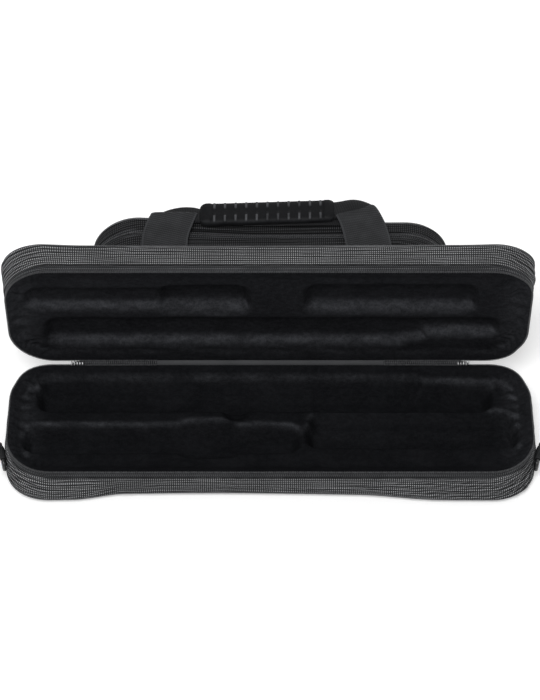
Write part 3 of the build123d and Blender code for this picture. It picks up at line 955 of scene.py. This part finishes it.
def closed_pad(name, half, top, bottom, finish, slot, painted_light=None):
    """A skin from a top and a bottom grid of (x, a, depth), joined round the border."""
    rows, columns = top[0].shape
    faces, _, _ = grid_faces(rows, columns, False, False)
    border = [(0, j) for j in range(columns - 1)] + [(i, columns - 1) for i in range(rows - 1)]
    border += [(rows - 1, j) for j in range(columns - 1, 0, -1)] + [(i, 0) for i in range(rows - 1, 0, -1)]
    ring = np.array([i * columns + j for i, j in border])
    after = np.roll(ring, -1)
    shift = rows * columns
    walls = np.stack([ring, ring + shift, after + shift, after], -1)
    points = np.concatenate([half.place(*grid).reshape(-1, 3) for grid in (top, bottom)])
    quads = np.concatenate([faces, faces[:, ::-1] + shift, walls])
    cloth = None
    if painted_light is not None:
        both = np.tile(painted_light.ravel(), 2)
        cloth = np.stack([both, 0 * both], -1)[quads].reshape(-1, 2)
    return make_piece(name, points, quads.tolist(), finish, slot, cloth, half.name)


plush_thick = 1.7
lining_inset, core_inset = 2.0, 2.9
core_taper = 9.0
core_to_lining, core_to_cover, least_core = 2.3, 2.4, 1.5
for half in (tray, lid):
    x, a = pad_grid(lining_inset, 1.2)
    top = lining_depth(half, x, a)
    lining = closed_pad(f"{half.name}_plush", half, (x, a, top), (x, a, top + plush_thick), plush_finish,
                        "plush_lining", painted_pile_light(half, x, a, top))
    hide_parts(f"{half.name}_lining")
    x, a = pad_grid(core_inset, 3.2)
    top = lining_depth(half, x, a)
    for axis in (0, 1):
        top = np.maximum(top, np.maximum(np.roll(top, 1, axis), np.roll(top, -1, axis)))
    base = half.height - core_to_cover
    top = np.minimum(top + core_to_lining, base - least_core)
    under_x = x * (1 - core_taper / half_length / 2)
    under_a = depth / 2 + (a - depth / 2) * (1 - core_taper / depth)
    core = closed_pad(f"{half.name}_core", half, (x, a, top), (under_x, under_a, np.full_like(top, base)),
                      foam_finish, "padding_foam")
    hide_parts(f"{half.name}_foam")
    print(lining.name, len(lining.data.vertices), "points, deepest", round(float(top.max()), 1), "mm")

# %% [markdown]
# ## Hinge
# Between the two zip ends the halves are joined by one strip of cloth, which shows from inside as a light
# line. Beside it, up to the parked sliders, the zip is closed: a dark chain. Both are made in place, their
# section turning from the tray's rear wall round the corner to the lid's lower wall.


# %% Hinge strip and closed chain
hinge_out = 0.9


def hinge_section(thick, reach):
    """A section across the hinge, from the tray's rear wall round the corner to the lid's lower wall."""
    turn = np.linspace(0, pi / 2, 9)[1:-1]
    radius = 2.4
    out_y, out_z = hinge_y - hinge_out, hinge_z + hinge_out
    centre_y, centre_z = out_y + radius, out_z - radius
    middle = [(out_y, hinge_z - reach), (out_y, hinge_z - reach / 2)]
    middle += [(centre_y - radius * cos(t), centre_z + radius * sin(t)) for t in turn]
    middle += [(hinge_y + reach / 2, out_z), (hinge_y + reach, out_z)]
    middle = np.array(middle)
    ahead = np.gradient(middle, axis=0)
    ahead /= np.linalg.norm(ahead, axis=1)[:, None]
    side = np.stack([-ahead[:, 1], ahead[:, 0]], -1)
    return np.vstack([middle + side * thick / 2, (middle - side * thick / 2)[::-1]])


def hinge_piece(name, x_start, x_end, thick, reach, finish, slot, seed):
    section = hinge_section(thick, reach)
    x = np.linspace(x_start, x_end, int(abs(x_end - x_start) / 2) + 2)[:, None]
    wave = 0.18 * ripple(x, 0 * x, seed, 45, 1)
    points = np.stack(np.broadcast_arrays(x, section[:, 0] + wave, section[:, 1] - wave), -1)
    return carry(name, points, x, girth(section), finish, slot)


def hinge_lumps(name, x, y, z, axes, finish, slot, body=None):
    """Equal lumps in a row along the hinge."""
    centres = np.stack([x, 0 * x + y, 0 * x + z], -1)
    return scatter(name, centres, np.array([axes] * len(x), float), finish, slot, body)


strip = hinge_piece("hinge_strip", -hinge_half, hinge_half, 1.2, tape_width, hinge_finish, "hinge_cloth", 21)
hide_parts("tray_hinge_leaf", "lid_hinge_leaf")
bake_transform(strip)

closed_chain_pitch = 1.75
slider_x = abs(span("zip_slider_left")[0].x + span("zip_slider_left")[1].x) / 2
for name, side in sides:
    web = hinge_piece(f"closed_tape_{name}", side * hinge_half, side * (slider_x - 2), 0.8, 5.0, tape_finish,
                      "zip_tape", 22)
    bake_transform(web)
    x = np.arange(hinge_half + 1, slider_x - 5, closed_chain_pitch) * side
    chain = hinge_lumps(f"closed_chain_{name}", x, hinge_y - hinge_out, hinge_z + hinge_out,
                        ((0.48, 0, 0), (0, 1.0, 1.0), (0, -0.4, 0.4)), teeth_finish, "zip_teeth")
    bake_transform(chain)
    x = side * (slider_x + np.linspace(-4.4, 4.4, 5))
    hinge_lumps(f"slider_ribs_{name}", x, hinge_y - 2.0, hinge_z + 1.1,
                ((0.7, 0, 0), (0, 1.5, 1.5), (0, -0.6, 0.6)), slider_finish, "slider_metal", f"slider_{name}")
print("hinge strip", 2 * hinge_half, "mm, closed chain to", slider_x)

# %% [markdown]
# ## Accessory pocket
# A flat box of softer cloth on the lid's outer face, with its own zip round three sides. It has no foam, so
# its top wall sags between the corners and its cloth lies in long ribs. The lower wall is sewn down, and
# the flap turns about it. The same sweeps are used as for the case, with the sag added.

# %% How the pocket sags
pocket_near, pocket_far = 12.0, 38.0
pocket_zip_gap = 110.0
pocket_tape = 3.5
flap_seam = pocket_out - 3.5
pocket_walk = walk(pocket_half, pocket_low, pocket_high, pocket_near, pocket_far)
pocket_zip_walk = walk(pocket_half, pocket_low, pocket_high, pocket_near, pocket_far, gap=pocket_zip_gap)


def sag_share(x, na):
    """How far the pocket's top wall hangs: most in the middle, less to the right, none at its shoulders."""
    left_side, right_side = ease((x + 68) / 60), 1 - 0.62 * ease((x - 2) / 85)
    return left_side * right_side * ease((134 - x) / 30) * np.clip(na, 0, 1) ** 4


def pocket_bend(x, nx, na, inset, w):
    """The pocket's wall: it hangs in the middle, spreads at both ends and lifts at the left shoulder."""
    out = ease((w - lid_height) / (pocket_out - lid_height))
    share = sag_share(x, na) * out
    spread = 3.6 * np.abs(nx) ** 1.3 * ease((w - lid_height) / 4)
    lift = 2.6 * np.exp(-(((x + 112) / 34) ** 2)) * np.clip(na, 0, 1) * out
    return inset + 2.0 * share - spread - 0.6 * lift, w - 1.6 * share + lift


def pocket_shape(half, path, inset, w):
    run = path.run[: path.count, None]
    ribs = ripple(run, w, 31, 260, 5.2) * 0.5 * ease((w - half.height) / 3)
    return pocket_bend(path.x[:, None], path.nx[:, None], path.na[:, None], inset - ribs + 0.25, w)


def pocket_strip(low, high, thick, inset=0.0):
    """The section of one strip of the pocket's wall."""
    return thin_section(inset, np.linspace(low, high, max(3, int(high - low) + 1)), thick)


print(f"pocket outline {pocket_walk.run[-1]:.0f} mm")

# %% Pocket walls, tapes, piping and teeth
pocket_skin, pocket_tape_thick, pocket_tape_inset = 1.2, 0.9, 0.55
for name, body, section, finish, slot, node, path in (
    ("pocket_gusset", "lid", pocket_strip(lid_height + 0.1, pocket_zip - pocket_tape + 0.5, pocket_skin),
     pocket_finish, "woven_cover", "pocket_base_band", pocket_walk),
    ("pocket_base_tape", "lid",
     pocket_strip(pocket_zip - pocket_tape - 0.4, pocket_zip - 0.2, pocket_tape_thick, pocket_tape_inset),
     tape_finish, "zip_tape", "pocket_base_zip_tape", pocket_zip_walk),
    ("pocket_flap_tape", "pocket_flap",
     pocket_strip(pocket_zip + 0.2, pocket_zip + pocket_tape + 0.4, pocket_tape_thick, pocket_tape_inset),
     tape_finish, "zip_tape", "pocket_flap_zip_tape", pocket_zip_walk),
    ("pocket_rim", "pocket_flap", pocket_strip(pocket_zip + pocket_tape - 0.5, flap_seam, pocket_skin),
     pocket_finish, "woven_cover", "pocket_flap_band", pocket_walk),
):
    piece = sweep(name, lid, path, section, finish, slot, body, pocket_shape)
    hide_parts(node)
for name, body, level, radius, node in (
    ("pocket_foot_piping", "lid", lid_height + 0.7, 0.7, "pocket_base_welt"),
    ("pocket_rim_piping", "pocket_flap", flap_seam, 0.75, "pocket_flap_welt"),
):
    cord = round_section(0.1, level, radius, radius, 8)
    piece = sweep(name, lid, pocket_walk, cord, piping_finish, "seam_piping", body, pocket_shape)
    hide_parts(node)


def pocket_at(x, nx, na, inset, w):
    return pocket_bend(x, nx, na, inset + 0.1, w)


for name, body, level, node in (
    ("pocket_base_coil", "lid", pocket_zip - 0.35, "pocket_base_zip_teeth"),
    ("pocket_flap_coil", "pocket_flap", pocket_zip + 0.35, "pocket_flap_zip_teeth"),
):
    coil = row_of_lumps(name, lid, pocket_zip_walk, tooth_pitch, 0.55, level, (0.45, 0.6, 0.5), teeth_finish,
                        "zip_teeth", body, pocket_at)
    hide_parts(node)
print("pocket walls, zip and piping made")

# %% [markdown]
# The pocket's front has air behind it, so it stands out a little between its seams. Waves could be added by
# hand, but the cloth solver finds the shape that a held and blown-up cloth takes by itself: full in the
# middle and pulled flat near the corners. The edge is held, gravity is off, and no point may move further
# than a limit.

# %% Pocket front
solver_frames = 20
most_blown = 3.5


def blown_up(name, x, a, w, held_rings, limit):
    """Blows a panel up with the cloth solver and gives its new places."""
    points = np.stack([x, a, w], -1).reshape(-1, 3)
    single, back = np.unique(np.round(points, 3), axis=0, return_inverse=True)
    back = back.ravel()
    faces = back[grid_faces(*x.shape, False, True)[0]]
    faces = [list(dict.fromkeys(face)) for face in faces.tolist()]
    mesh = bpy.data.meshes.new(name + "_solver")
    mesh.from_pydata((single * MM).tolist(), [], [face for face in faces if len(face) > 2])
    mesh.validate()
    sheet = bpy.data.objects.new(name + "_solver", mesh)
    bpy.context.scene.collection.objects.link(sheet)
    held = sheet.vertex_groups.new(name="held")
    held.add([int(i) for i in np.unique(back[: held_rings * x.shape[1]])], 1.0, "REPLACE")
    cloth = sheet.modifiers.new("cloth", "CLOTH").settings
    cloth.quality = 6
    cloth.mass = 0.3
    cloth.tension_stiffness = cloth.compression_stiffness = 12
    cloth.bending_stiffness = 0.6
    cloth.use_pressure = True
    cloth.uniform_pressure_force = 1.2
    cloth.vertex_group_mass = "held"
    cloth.effector_weights.gravity = 0
    for step in range(1, solver_frames + 1):
        bpy.context.scene.frame_set(step)
    done = sheet.evaluated_get(bpy.context.evaluated_depsgraph_get()).to_mesh()
    moved = np.empty(len(single) * 3, np.float32)
    done.vertices.foreach_get("co", moved)
    shift = moved.reshape(-1, 3) / MM - single
    length = np.linalg.norm(shift, axis=1, keepdims=True)
    shift *= limit * np.tanh(length / limit) / np.maximum(length, 1e-6)
    shift[:, 2] = np.abs(shift[:, 2])
    bpy.data.objects.remove(sheet)
    bpy.context.scene.frame_set(1)
    print(name, "blown up by", round(float(shift[:, 2].max()), 1), "mm")
    return np.moveaxis((points + shift[back]).reshape(*x.shape, 3), -1, 0)


def front_shape(half, path, x, a, w):
    fade = fade_inwards(w, 1.5)
    moved_in, moved_w = pocket_bend(path.x, path.nx, path.na, 0 * w, w)
    puckers = np.abs(ripple(x, a, 33, 70, 45)) * 0.5 * (1 - fade)
    x, a = x - path.nx * moved_in * fade, a - path.na * moved_in * fade
    return blown_up("pocket_front", x, a, w + (moved_w - w) * fade - puckers, edge_rings, most_blown)


pocket_edge_radius = 5.0
pocket_line_short = 46.0
front = panel("pocket_front", lid, pocket_walk, flap_seam, pocket_out, pocket_edge_radius,
              pocket_half - pocket_line_short, (pocket_low + pocket_high) / 2, "pocket_flap", front_shape)
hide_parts("pocket_flap_panel")
print("pocket front made")

# %% [markdown]
# Below, the pocket's two walls are joined by a strip of dark cloth. The flap folds along it, so it's made
# as two leaves that meet at the fold, one on the lid and one on the flap.

# %% Pocket hinge
for name, body, low, high, node in (
    ("pocket_hinge_low", "lid", pocket_zip - pocket_tape - 0.4, pocket_zip - 0.05, "pocket_base_hinge_leaf"),
    ("pocket_hinge_high", "pocket_flap", pocket_zip + 0.05, pocket_zip + pocket_tape + 0.4,
     "pocket_flap_hinge_leaf"),
):
    x = np.linspace(-pocket_zip_gap, pocket_zip_gap, 90)[:, None]
    section = pocket_strip(low, high, 1.1, -0.1)
    across, up = hinge_y + section[:, 1], hinge_z + pocket_low + section[:, 0]
    points = np.stack(np.broadcast_arrays(x, across, up), -1)
    round_it = np.arange(len(section) + 1.0)
    leaf = carry(name, points, x, round_it, pocket_hinge_finish, "hinge_cloth", body=body)
    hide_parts(node)
print("pocket hinge made")

# %% [markdown]
# ## Handle
# One length of webbing is sewn to the lid at both ends, folds over, and runs through a moulded grip. Here
# it has fallen back over the pocket. Straps are drawn in the handle's own plane: x along the case, r away
# from the lid and h up from the plane. A ribbon is a strip between two smooth curves with a small
# thickness, and a tube is a flattened sleeve along one curve.


# %% Handle coordinates, ribbons and tubes
def frame_at(origin, first, second, third):
    """A function that turns places in a local frame into places in the room."""
    def to_room(points):
        p = np.asarray(points, float)
        return origin + p[..., :1] * first + p[..., 1:2] * second + p[..., 2:3] * third

    return to_room


handle_tilt = radians(9)
pivot = joint_at["handle_swing"]
in_handle = frame_at(
    np.array([0, pivot.y, pivot.z]),
    np.array([1, 0, 0]),
    np.array([0, cos(handle_tilt), sin(handle_tilt)]),
    np.array([0, -sin(handle_tilt), cos(handle_tilt)]),
)


def smooth_line(points, count):
    """A curve through the points, at an even pace."""
    p = np.asarray(points, float)
    p = np.vstack([2 * p[0] - p[1], p, 2 * p[-1] - p[-2]])
    t = np.linspace(0, len(p) - 3 - 1e-9, count)
    k = t.astype(int)
    f = (t - k)[:, None]
    p0, p1, p2, p3 = p[k], p[k + 1], p[k + 2], p[k + 3]
    bend, turn = 2 * p0 - 5 * p1 + 4 * p2 - p3, 3 * p1 - p0 - 3 * p2 + p3
    return 0.5 * (2 * p1 + (p2 - p0) * f + bend * f**2 + turn * f**3)


def ribbon(name, left, right, thick, finish, body, count=90, across=16, width=strap_width, bow=0.0,
           to_room=in_handle):
    """A strap between two curves."""
    left, right = smooth_line(left, count), smooth_line(right, count)
    middle = (left + right) / 2
    side = right - left
    normal = np.cross(side, np.gradient(middle, axis=0))
    normal = (normal / np.linalg.norm(normal, axis=1)[:, None])[:, None]
    v = np.linspace(0, 1, across)
    edge = np.minimum(1, np.minimum(v, 1 - v) * width / 0.8 + 0.45)
    crown = bow * 4 * v * (1 - v)
    flat = left[:, None] + side[:, None] * v[None, :, None]
    top = flat + normal * (thick / 2 * edge + crown)[None, :, None]
    low = flat + normal * (crown - thick / 2 * edge)[None, :, None]
    points = to_room(np.concatenate([top, low[:, ::-1]], 1))
    across_cloth = np.concatenate([v * width, v[::-1] * width, [0]])
    return carry(name, points, across_cloth, walked(middle)[:, None], finish, "webbing", body=body, sharp=60)


def tube(name, line, across, high, count=60, around=18):
    """A flattened sleeve along a curve; across and high are its half sizes at each point of the line."""
    centre = smooth_line(line, count)
    sizes = smooth_line(np.stack([across, high, np.zeros(len(across))], -1), count)
    ahead = np.gradient(centre, axis=0)
    ahead /= np.linalg.norm(ahead, axis=1)[:, None]
    side = np.cross(ahead, (0, 0, 1.0))
    side /= np.linalg.norm(side, axis=1)[:, None]
    lift = np.cross(side, ahead)
    ring = round_section(0, 0, 1, 1, around)
    points = (
        centre[:, None]
        + side[:, None] * (sizes[:, :1] * ring[:, 0])[..., None]
        + lift[:, None] * (sizes[:, 1:2] * ring[:, 1])[..., None]
    )
    across_cloth = np.arange(around + 1) * sleeve_width / around
    # The sleeves and the sling take the webbing painted darker: painted shade.
    carry(name, in_handle(points), across_cloth, walked(centre)[:, None], shaded_webbing_finish, "webbing",
          body="handle")


# %% Straps and sleeves
webbing_thick = 1.7
strap_bow = 0.5
straps = {
    "strap_left": (
        [(-104, -1, 0.1), (-103.3, 10, 0.9), (-100.6, 21, 1.6), (-97, 29.6, 1.6), (-96.3, 31.2, 0.1),
         (-95.8, 30.0, -1.7), (-94, 25, -2.1)],
        [(-67, -1, 0.1), (-65.9, 10, 0.9), (-62.8, 20, 1.6), (-59.6, 29.4, 1.6), (-58.8, 31.0, 0.1),
         (-58.4, 30.0, -1.7), (-57.5, 25, -2.1)],
    ),
    "strap_right": (
        [(61, -1, 0.1), (59, 10, 1.0), (56.5, 20, 1.8), (53.4, 28, 1.9), (53, 29.8, 0.3), (54, 28.6, -1.8),
         (57, 24, -2.1)],
        [(98, -1, 0.1), (96, 10, 1.0), (92.6, 22, 1.6), (87, 35, 1.4), (83, 39.6, 0.3), (80.5, 38.4, -1.7),
         (80, 33, -2.1)],
    ),
}
made = {name: ribbon(name, *edges, webbing_thick, webbing_finish, "handle", bow=strap_bow)
        for name, edges in straps.items()}
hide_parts("handle_webbing")

tube("sleeve_left", [(-93, 25.6, -3.8), (-84, 29.4, -3.4), (-73, 31.4, -2.8), (-64, 31.4, -1.8),
                     (-56, 29.6, -0.8), (-48, 29.6, 0)],
     [4.0, 6.8, 7.8, 7.2, 6.4, 6.8], [1.0, 1.8, 2.2, 2.4, 2.4, 2.4])
tube("sleeve_right", [(86, 33, -1.4), (78, 36.2, -0.6), (68, 37.4, 0), (56, 34.8, 0), (44, 33.4, 0)],
     [4.0, 6.0, 7.4, 8.0, 8.0], [1.2, 2.6, 3.4, 3.2, 2.6])
# The sling under the grip fills the gap below it with dark webbing: painted shadow.
tube("grip_sling", [(-60, 27.8, -2.2), (-40, 27.4, -3.0), (-5, 27.0, -3.2), (30, 27.0, -3.2),
                    (58, 27.6, -2.4)],
     [3.8, 4.2, 4.6, 5.0, 5.8], [1.0, 1.2, 1.2, 1.2, 1.0])
print("straps and sleeves made")

# %% [markdown]
# The grip is moulded rubber with two rows of finger ribs. Its section is a rounded rectangle; the ribs are
# pushed up and the spaces between them down in the mesh itself. The cloth coordinates carry a painted
# highlight: grey on the ribs and along its inner edge, where light glints.

# %% Grip
grip_low, grip_high = span("handle_grip")
grip_middle_x = (grip_low.x + grip_high.x) / 2 + 0.6
grip_half = (grip_high.x - grip_low.x) / 2 + 0.8
grip_r, grip_wide, grip_thick, grip_slant = 32.0, 10.0, 4.5, 2.0
end_round = 6
rib_pitch, rib_height, rib_row_at = 8.6, 1.2, 6.2
moulded_top = 1.5
u = np.linspace(-1, 1, 330)[:, None]
turn = np.linspace(0, 2 * pi, 64, endpoint=False)
near_end = np.clip((np.abs(u) * grip_half - (grip_half - end_round)) / end_round, 0, 1)
round_off = np.sqrt(np.maximum(1 - near_end**2, 0.02))
c, s = np.cos(turn), np.sin(turn)
section_r = np.sign(c) * np.abs(c) ** 0.55
section_h = np.sign(s) * np.abs(s) ** 0.62
x = grip_middle_x + u * grip_half
r = grip_r + grip_slant * u + grip_wide * section_r * (0.55 + 0.45 * round_off)
h = grip_thick * section_h * (0.35 + 0.65 * round_off)
from_rib = np.abs((x - grip_middle_x + rib_pitch / 2) % rib_pitch - rib_pitch / 2)
row_place = np.abs(np.abs(r - grip_r - grip_slant * u) - rib_row_at)
in_row = ease((3.2 - row_place) / 0.8) * (h > moulded_top)
in_length = ease((grip_half - 8 - np.abs(x - grip_middle_x)) / 2)
rib = in_row * in_length * ease((1.25 - from_rib) / 0.6)
h = h - (h > moulded_top) * in_length * 0.9 + rib_height * rib
points = in_handle(np.stack(np.broadcast_arrays(x, r, h), -1))
# Painted highlight on the ribs and along the inner edge.
glint_paint = rib + 0.16 * ease((-c - 0.5) / 0.4)
glint_paint = np.hstack([glint_paint, glint_paint[:, :1]])
grip = carry("grip", points, glint_paint, 0 * glint_paint, grip_finish, "grip_rubber", body="handle", sharp=60)
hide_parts("handle_grip")
print(f"grip {2 * grip_half:.0f} mm long")

# %% [markdown]
# The strap ends are sewn flat to the lid beside the pocket. Each is a short piece of the same webbing.

# %% Sewn-down ends
for name, _ in sides:
    low, high = span(f"strap_anchor_{name}")
    y = hinge_y + lid_height + 0.95
    along = [(y, low.z), (y, low.z + 1.5), (y, high.z - 1), (y + 0.2, high.z)]
    anchor = ribbon(f"sewn_end_{name}", *([(x, *place) for place in along] for x in (low.x, high.x)),
                    webbing_thick, webbing_finish, "lid", count=12, to_room=np.asarray)
    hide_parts(f"strap_anchor_{name}")
print("sewn ends made")

# %% [markdown]
# ## End rings, tabs and sliders
# The rings and sliders are hard parts whose solids already have the right shape, so they only get their
# finish. A webbing tab is wrapped round each ring's bar and sewn to the tray's end.

# %% Tabs
wrap_radius = 2.1
for name, side in sides:
    joint = f"ring_{name}_swing"
    bar_way = np.array(joints[joint]["axis"], float)
    out_way = np.array([bar_way[1], -bar_way[0], 0])
    out_way *= np.sign(out_way[0] * side)
    loop = [(-3.2, -12), (-3.1, -7), (-2.7, -3)]
    loop += [(wrap_radius * cos(t), wrap_radius * sin(t)) for t in np.radians(np.arange(180, -121, -30))]
    loop += [(-1.7, -4.2), (-1.85, -8), (-1.9, -12)]
    edges = ([(along_bar, o, z) for o, z in loop] for along_bar in (-tab_width / 2, tab_width / 2))
    to_room = frame_at(np.array(joint_at[joint]), bar_way, out_way, np.array([0, 0, 1.0]))
    tab = ribbon(f"tab_{name}", *edges, 0.8, tab_finish, "tray", count=80, across=10, width=tab_width,
                 to_room=to_room)
    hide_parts(f"ring_tab_{name}")
    print(tab.name, len(tab.data.vertices), "points")

# %% Rings and sliders
hard_parts = [
    *((f"end_ring_{n}", ring_finish, "ring_plastic") for n, _ in sides),
    *((f"zip_slider_{n}", slider_finish, "slider_metal") for n, _ in sides),
    *((f"zip_pull_{n}", slider_finish, "slider_metal") for n, _ in sides),
    ("pocket_zip_slider", slider_finish, "slider_metal"),
    ("pocket_zip_pull", slider_finish, "slider_metal"),
]
for node, finish, slot in hard_parts:
    solid = frame["nodes"][node]
    solid.data.materials.clear()
    solid.data.materials.append(finish.material)
print("hard parts finished:", len(hard_parts))

# %% [markdown]
# ## Studio
# A plain white floor, a white surround and two large soft lamps: one high in front, which makes the upward
# faces the lightest, and a weaker one behind for the rear. Floor and surround glow in full white only for
# rays that see them directly, off a shine or through glass. For the rays that light the case the surround
# is much dimmer and the floor doesn't glow at all, so the lamps shape the light. Near the case the floor
# glows less, so that the shadow shows on it.


# %% Floor, surround and lamps
floor_mesh = bpy.data.meshes.new("floor")
reach, below = 30.0, -0.0003
corners = [(-reach, -reach, below), (reach, -reach, below), (reach, reach, below), (-reach, reach, below)]
floor_mesh.from_pydata(corners, [], [(0, 1, 2, 3)])
floor = bpy.data.objects.new("floor", floor_mesh)
bpy.context.scene.collection.objects.link(floor)
floor_finish = Finish("floor_white", Roughness=0.9, Base_Color=(0.9, 0.9, 0.9, 1), Emission_Strength=1.0)
away = floor_finish.add("ShaderNodeVectorMath", {"operation": "LENGTH"}, floor_finish.place(), output="Value")
near_glow, glow_from, glow_full = 0.28, 0.35, 1.6
glow = floor_finish.seen_directly() * (near_glow + (1 - near_glow) * away.step(glow_from, glow_full))
floor_finish.paint("Emission Color", floor_finish.mix(glow, (0.0, 0.0, 0.0), (1.0, 1.0, 1.0)))
floor_mesh.materials.append(floor_finish.material)
floor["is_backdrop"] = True

world = bpy.data.worlds.new("studio")
bpy.context.scene.world = world
world.use_nodes = True
surround = world.node_tree.nodes["Background"]
surround.inputs["Color"].default_value = (1, 1, 1, 1)
lighting_share = 0.32
strength = lighting_share + (1 - lighting_share) * Graph(world.node_tree).seen_directly()
world.node_tree.links.new(strength.socket, surround.inputs["Strength"])


def lamp(name, place, aim_at, size, power):
    data = bpy.data.lights.new(name, "AREA")
    data.shape = "DISK"
    data.size = size
    data.energy = power
    lamp_object = bpy.data.objects.new(name, data)
    bpy.context.scene.collection.objects.link(lamp_object)
    lamp_object.location = place
    lamp_object.rotation_euler = (Vector(place) - Vector(aim_at)).to_track_quat("Z", "Y").to_euler()


lamp("key", (-0.25, -0.95, 1.9), (0, 0, 0.08), 1.0, 31)
lamp("rear_fill", (0.6, 1.7, 1.2), (0, 0.05, 0.1), 1.2, 12)
bpy.context.scene.view_settings.view_transform = "Standard"
print("studio ready")

# %% [markdown]
# ## Measure
# The dressed case is measured against the solid model's box.

# %% Measure and finish
new_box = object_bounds()
largest = max(abs(p - q) for b, c in zip(cad_box, new_box) for p, q in zip(b, c))
print("largest difference", round(largest / MM, 1), "mm")
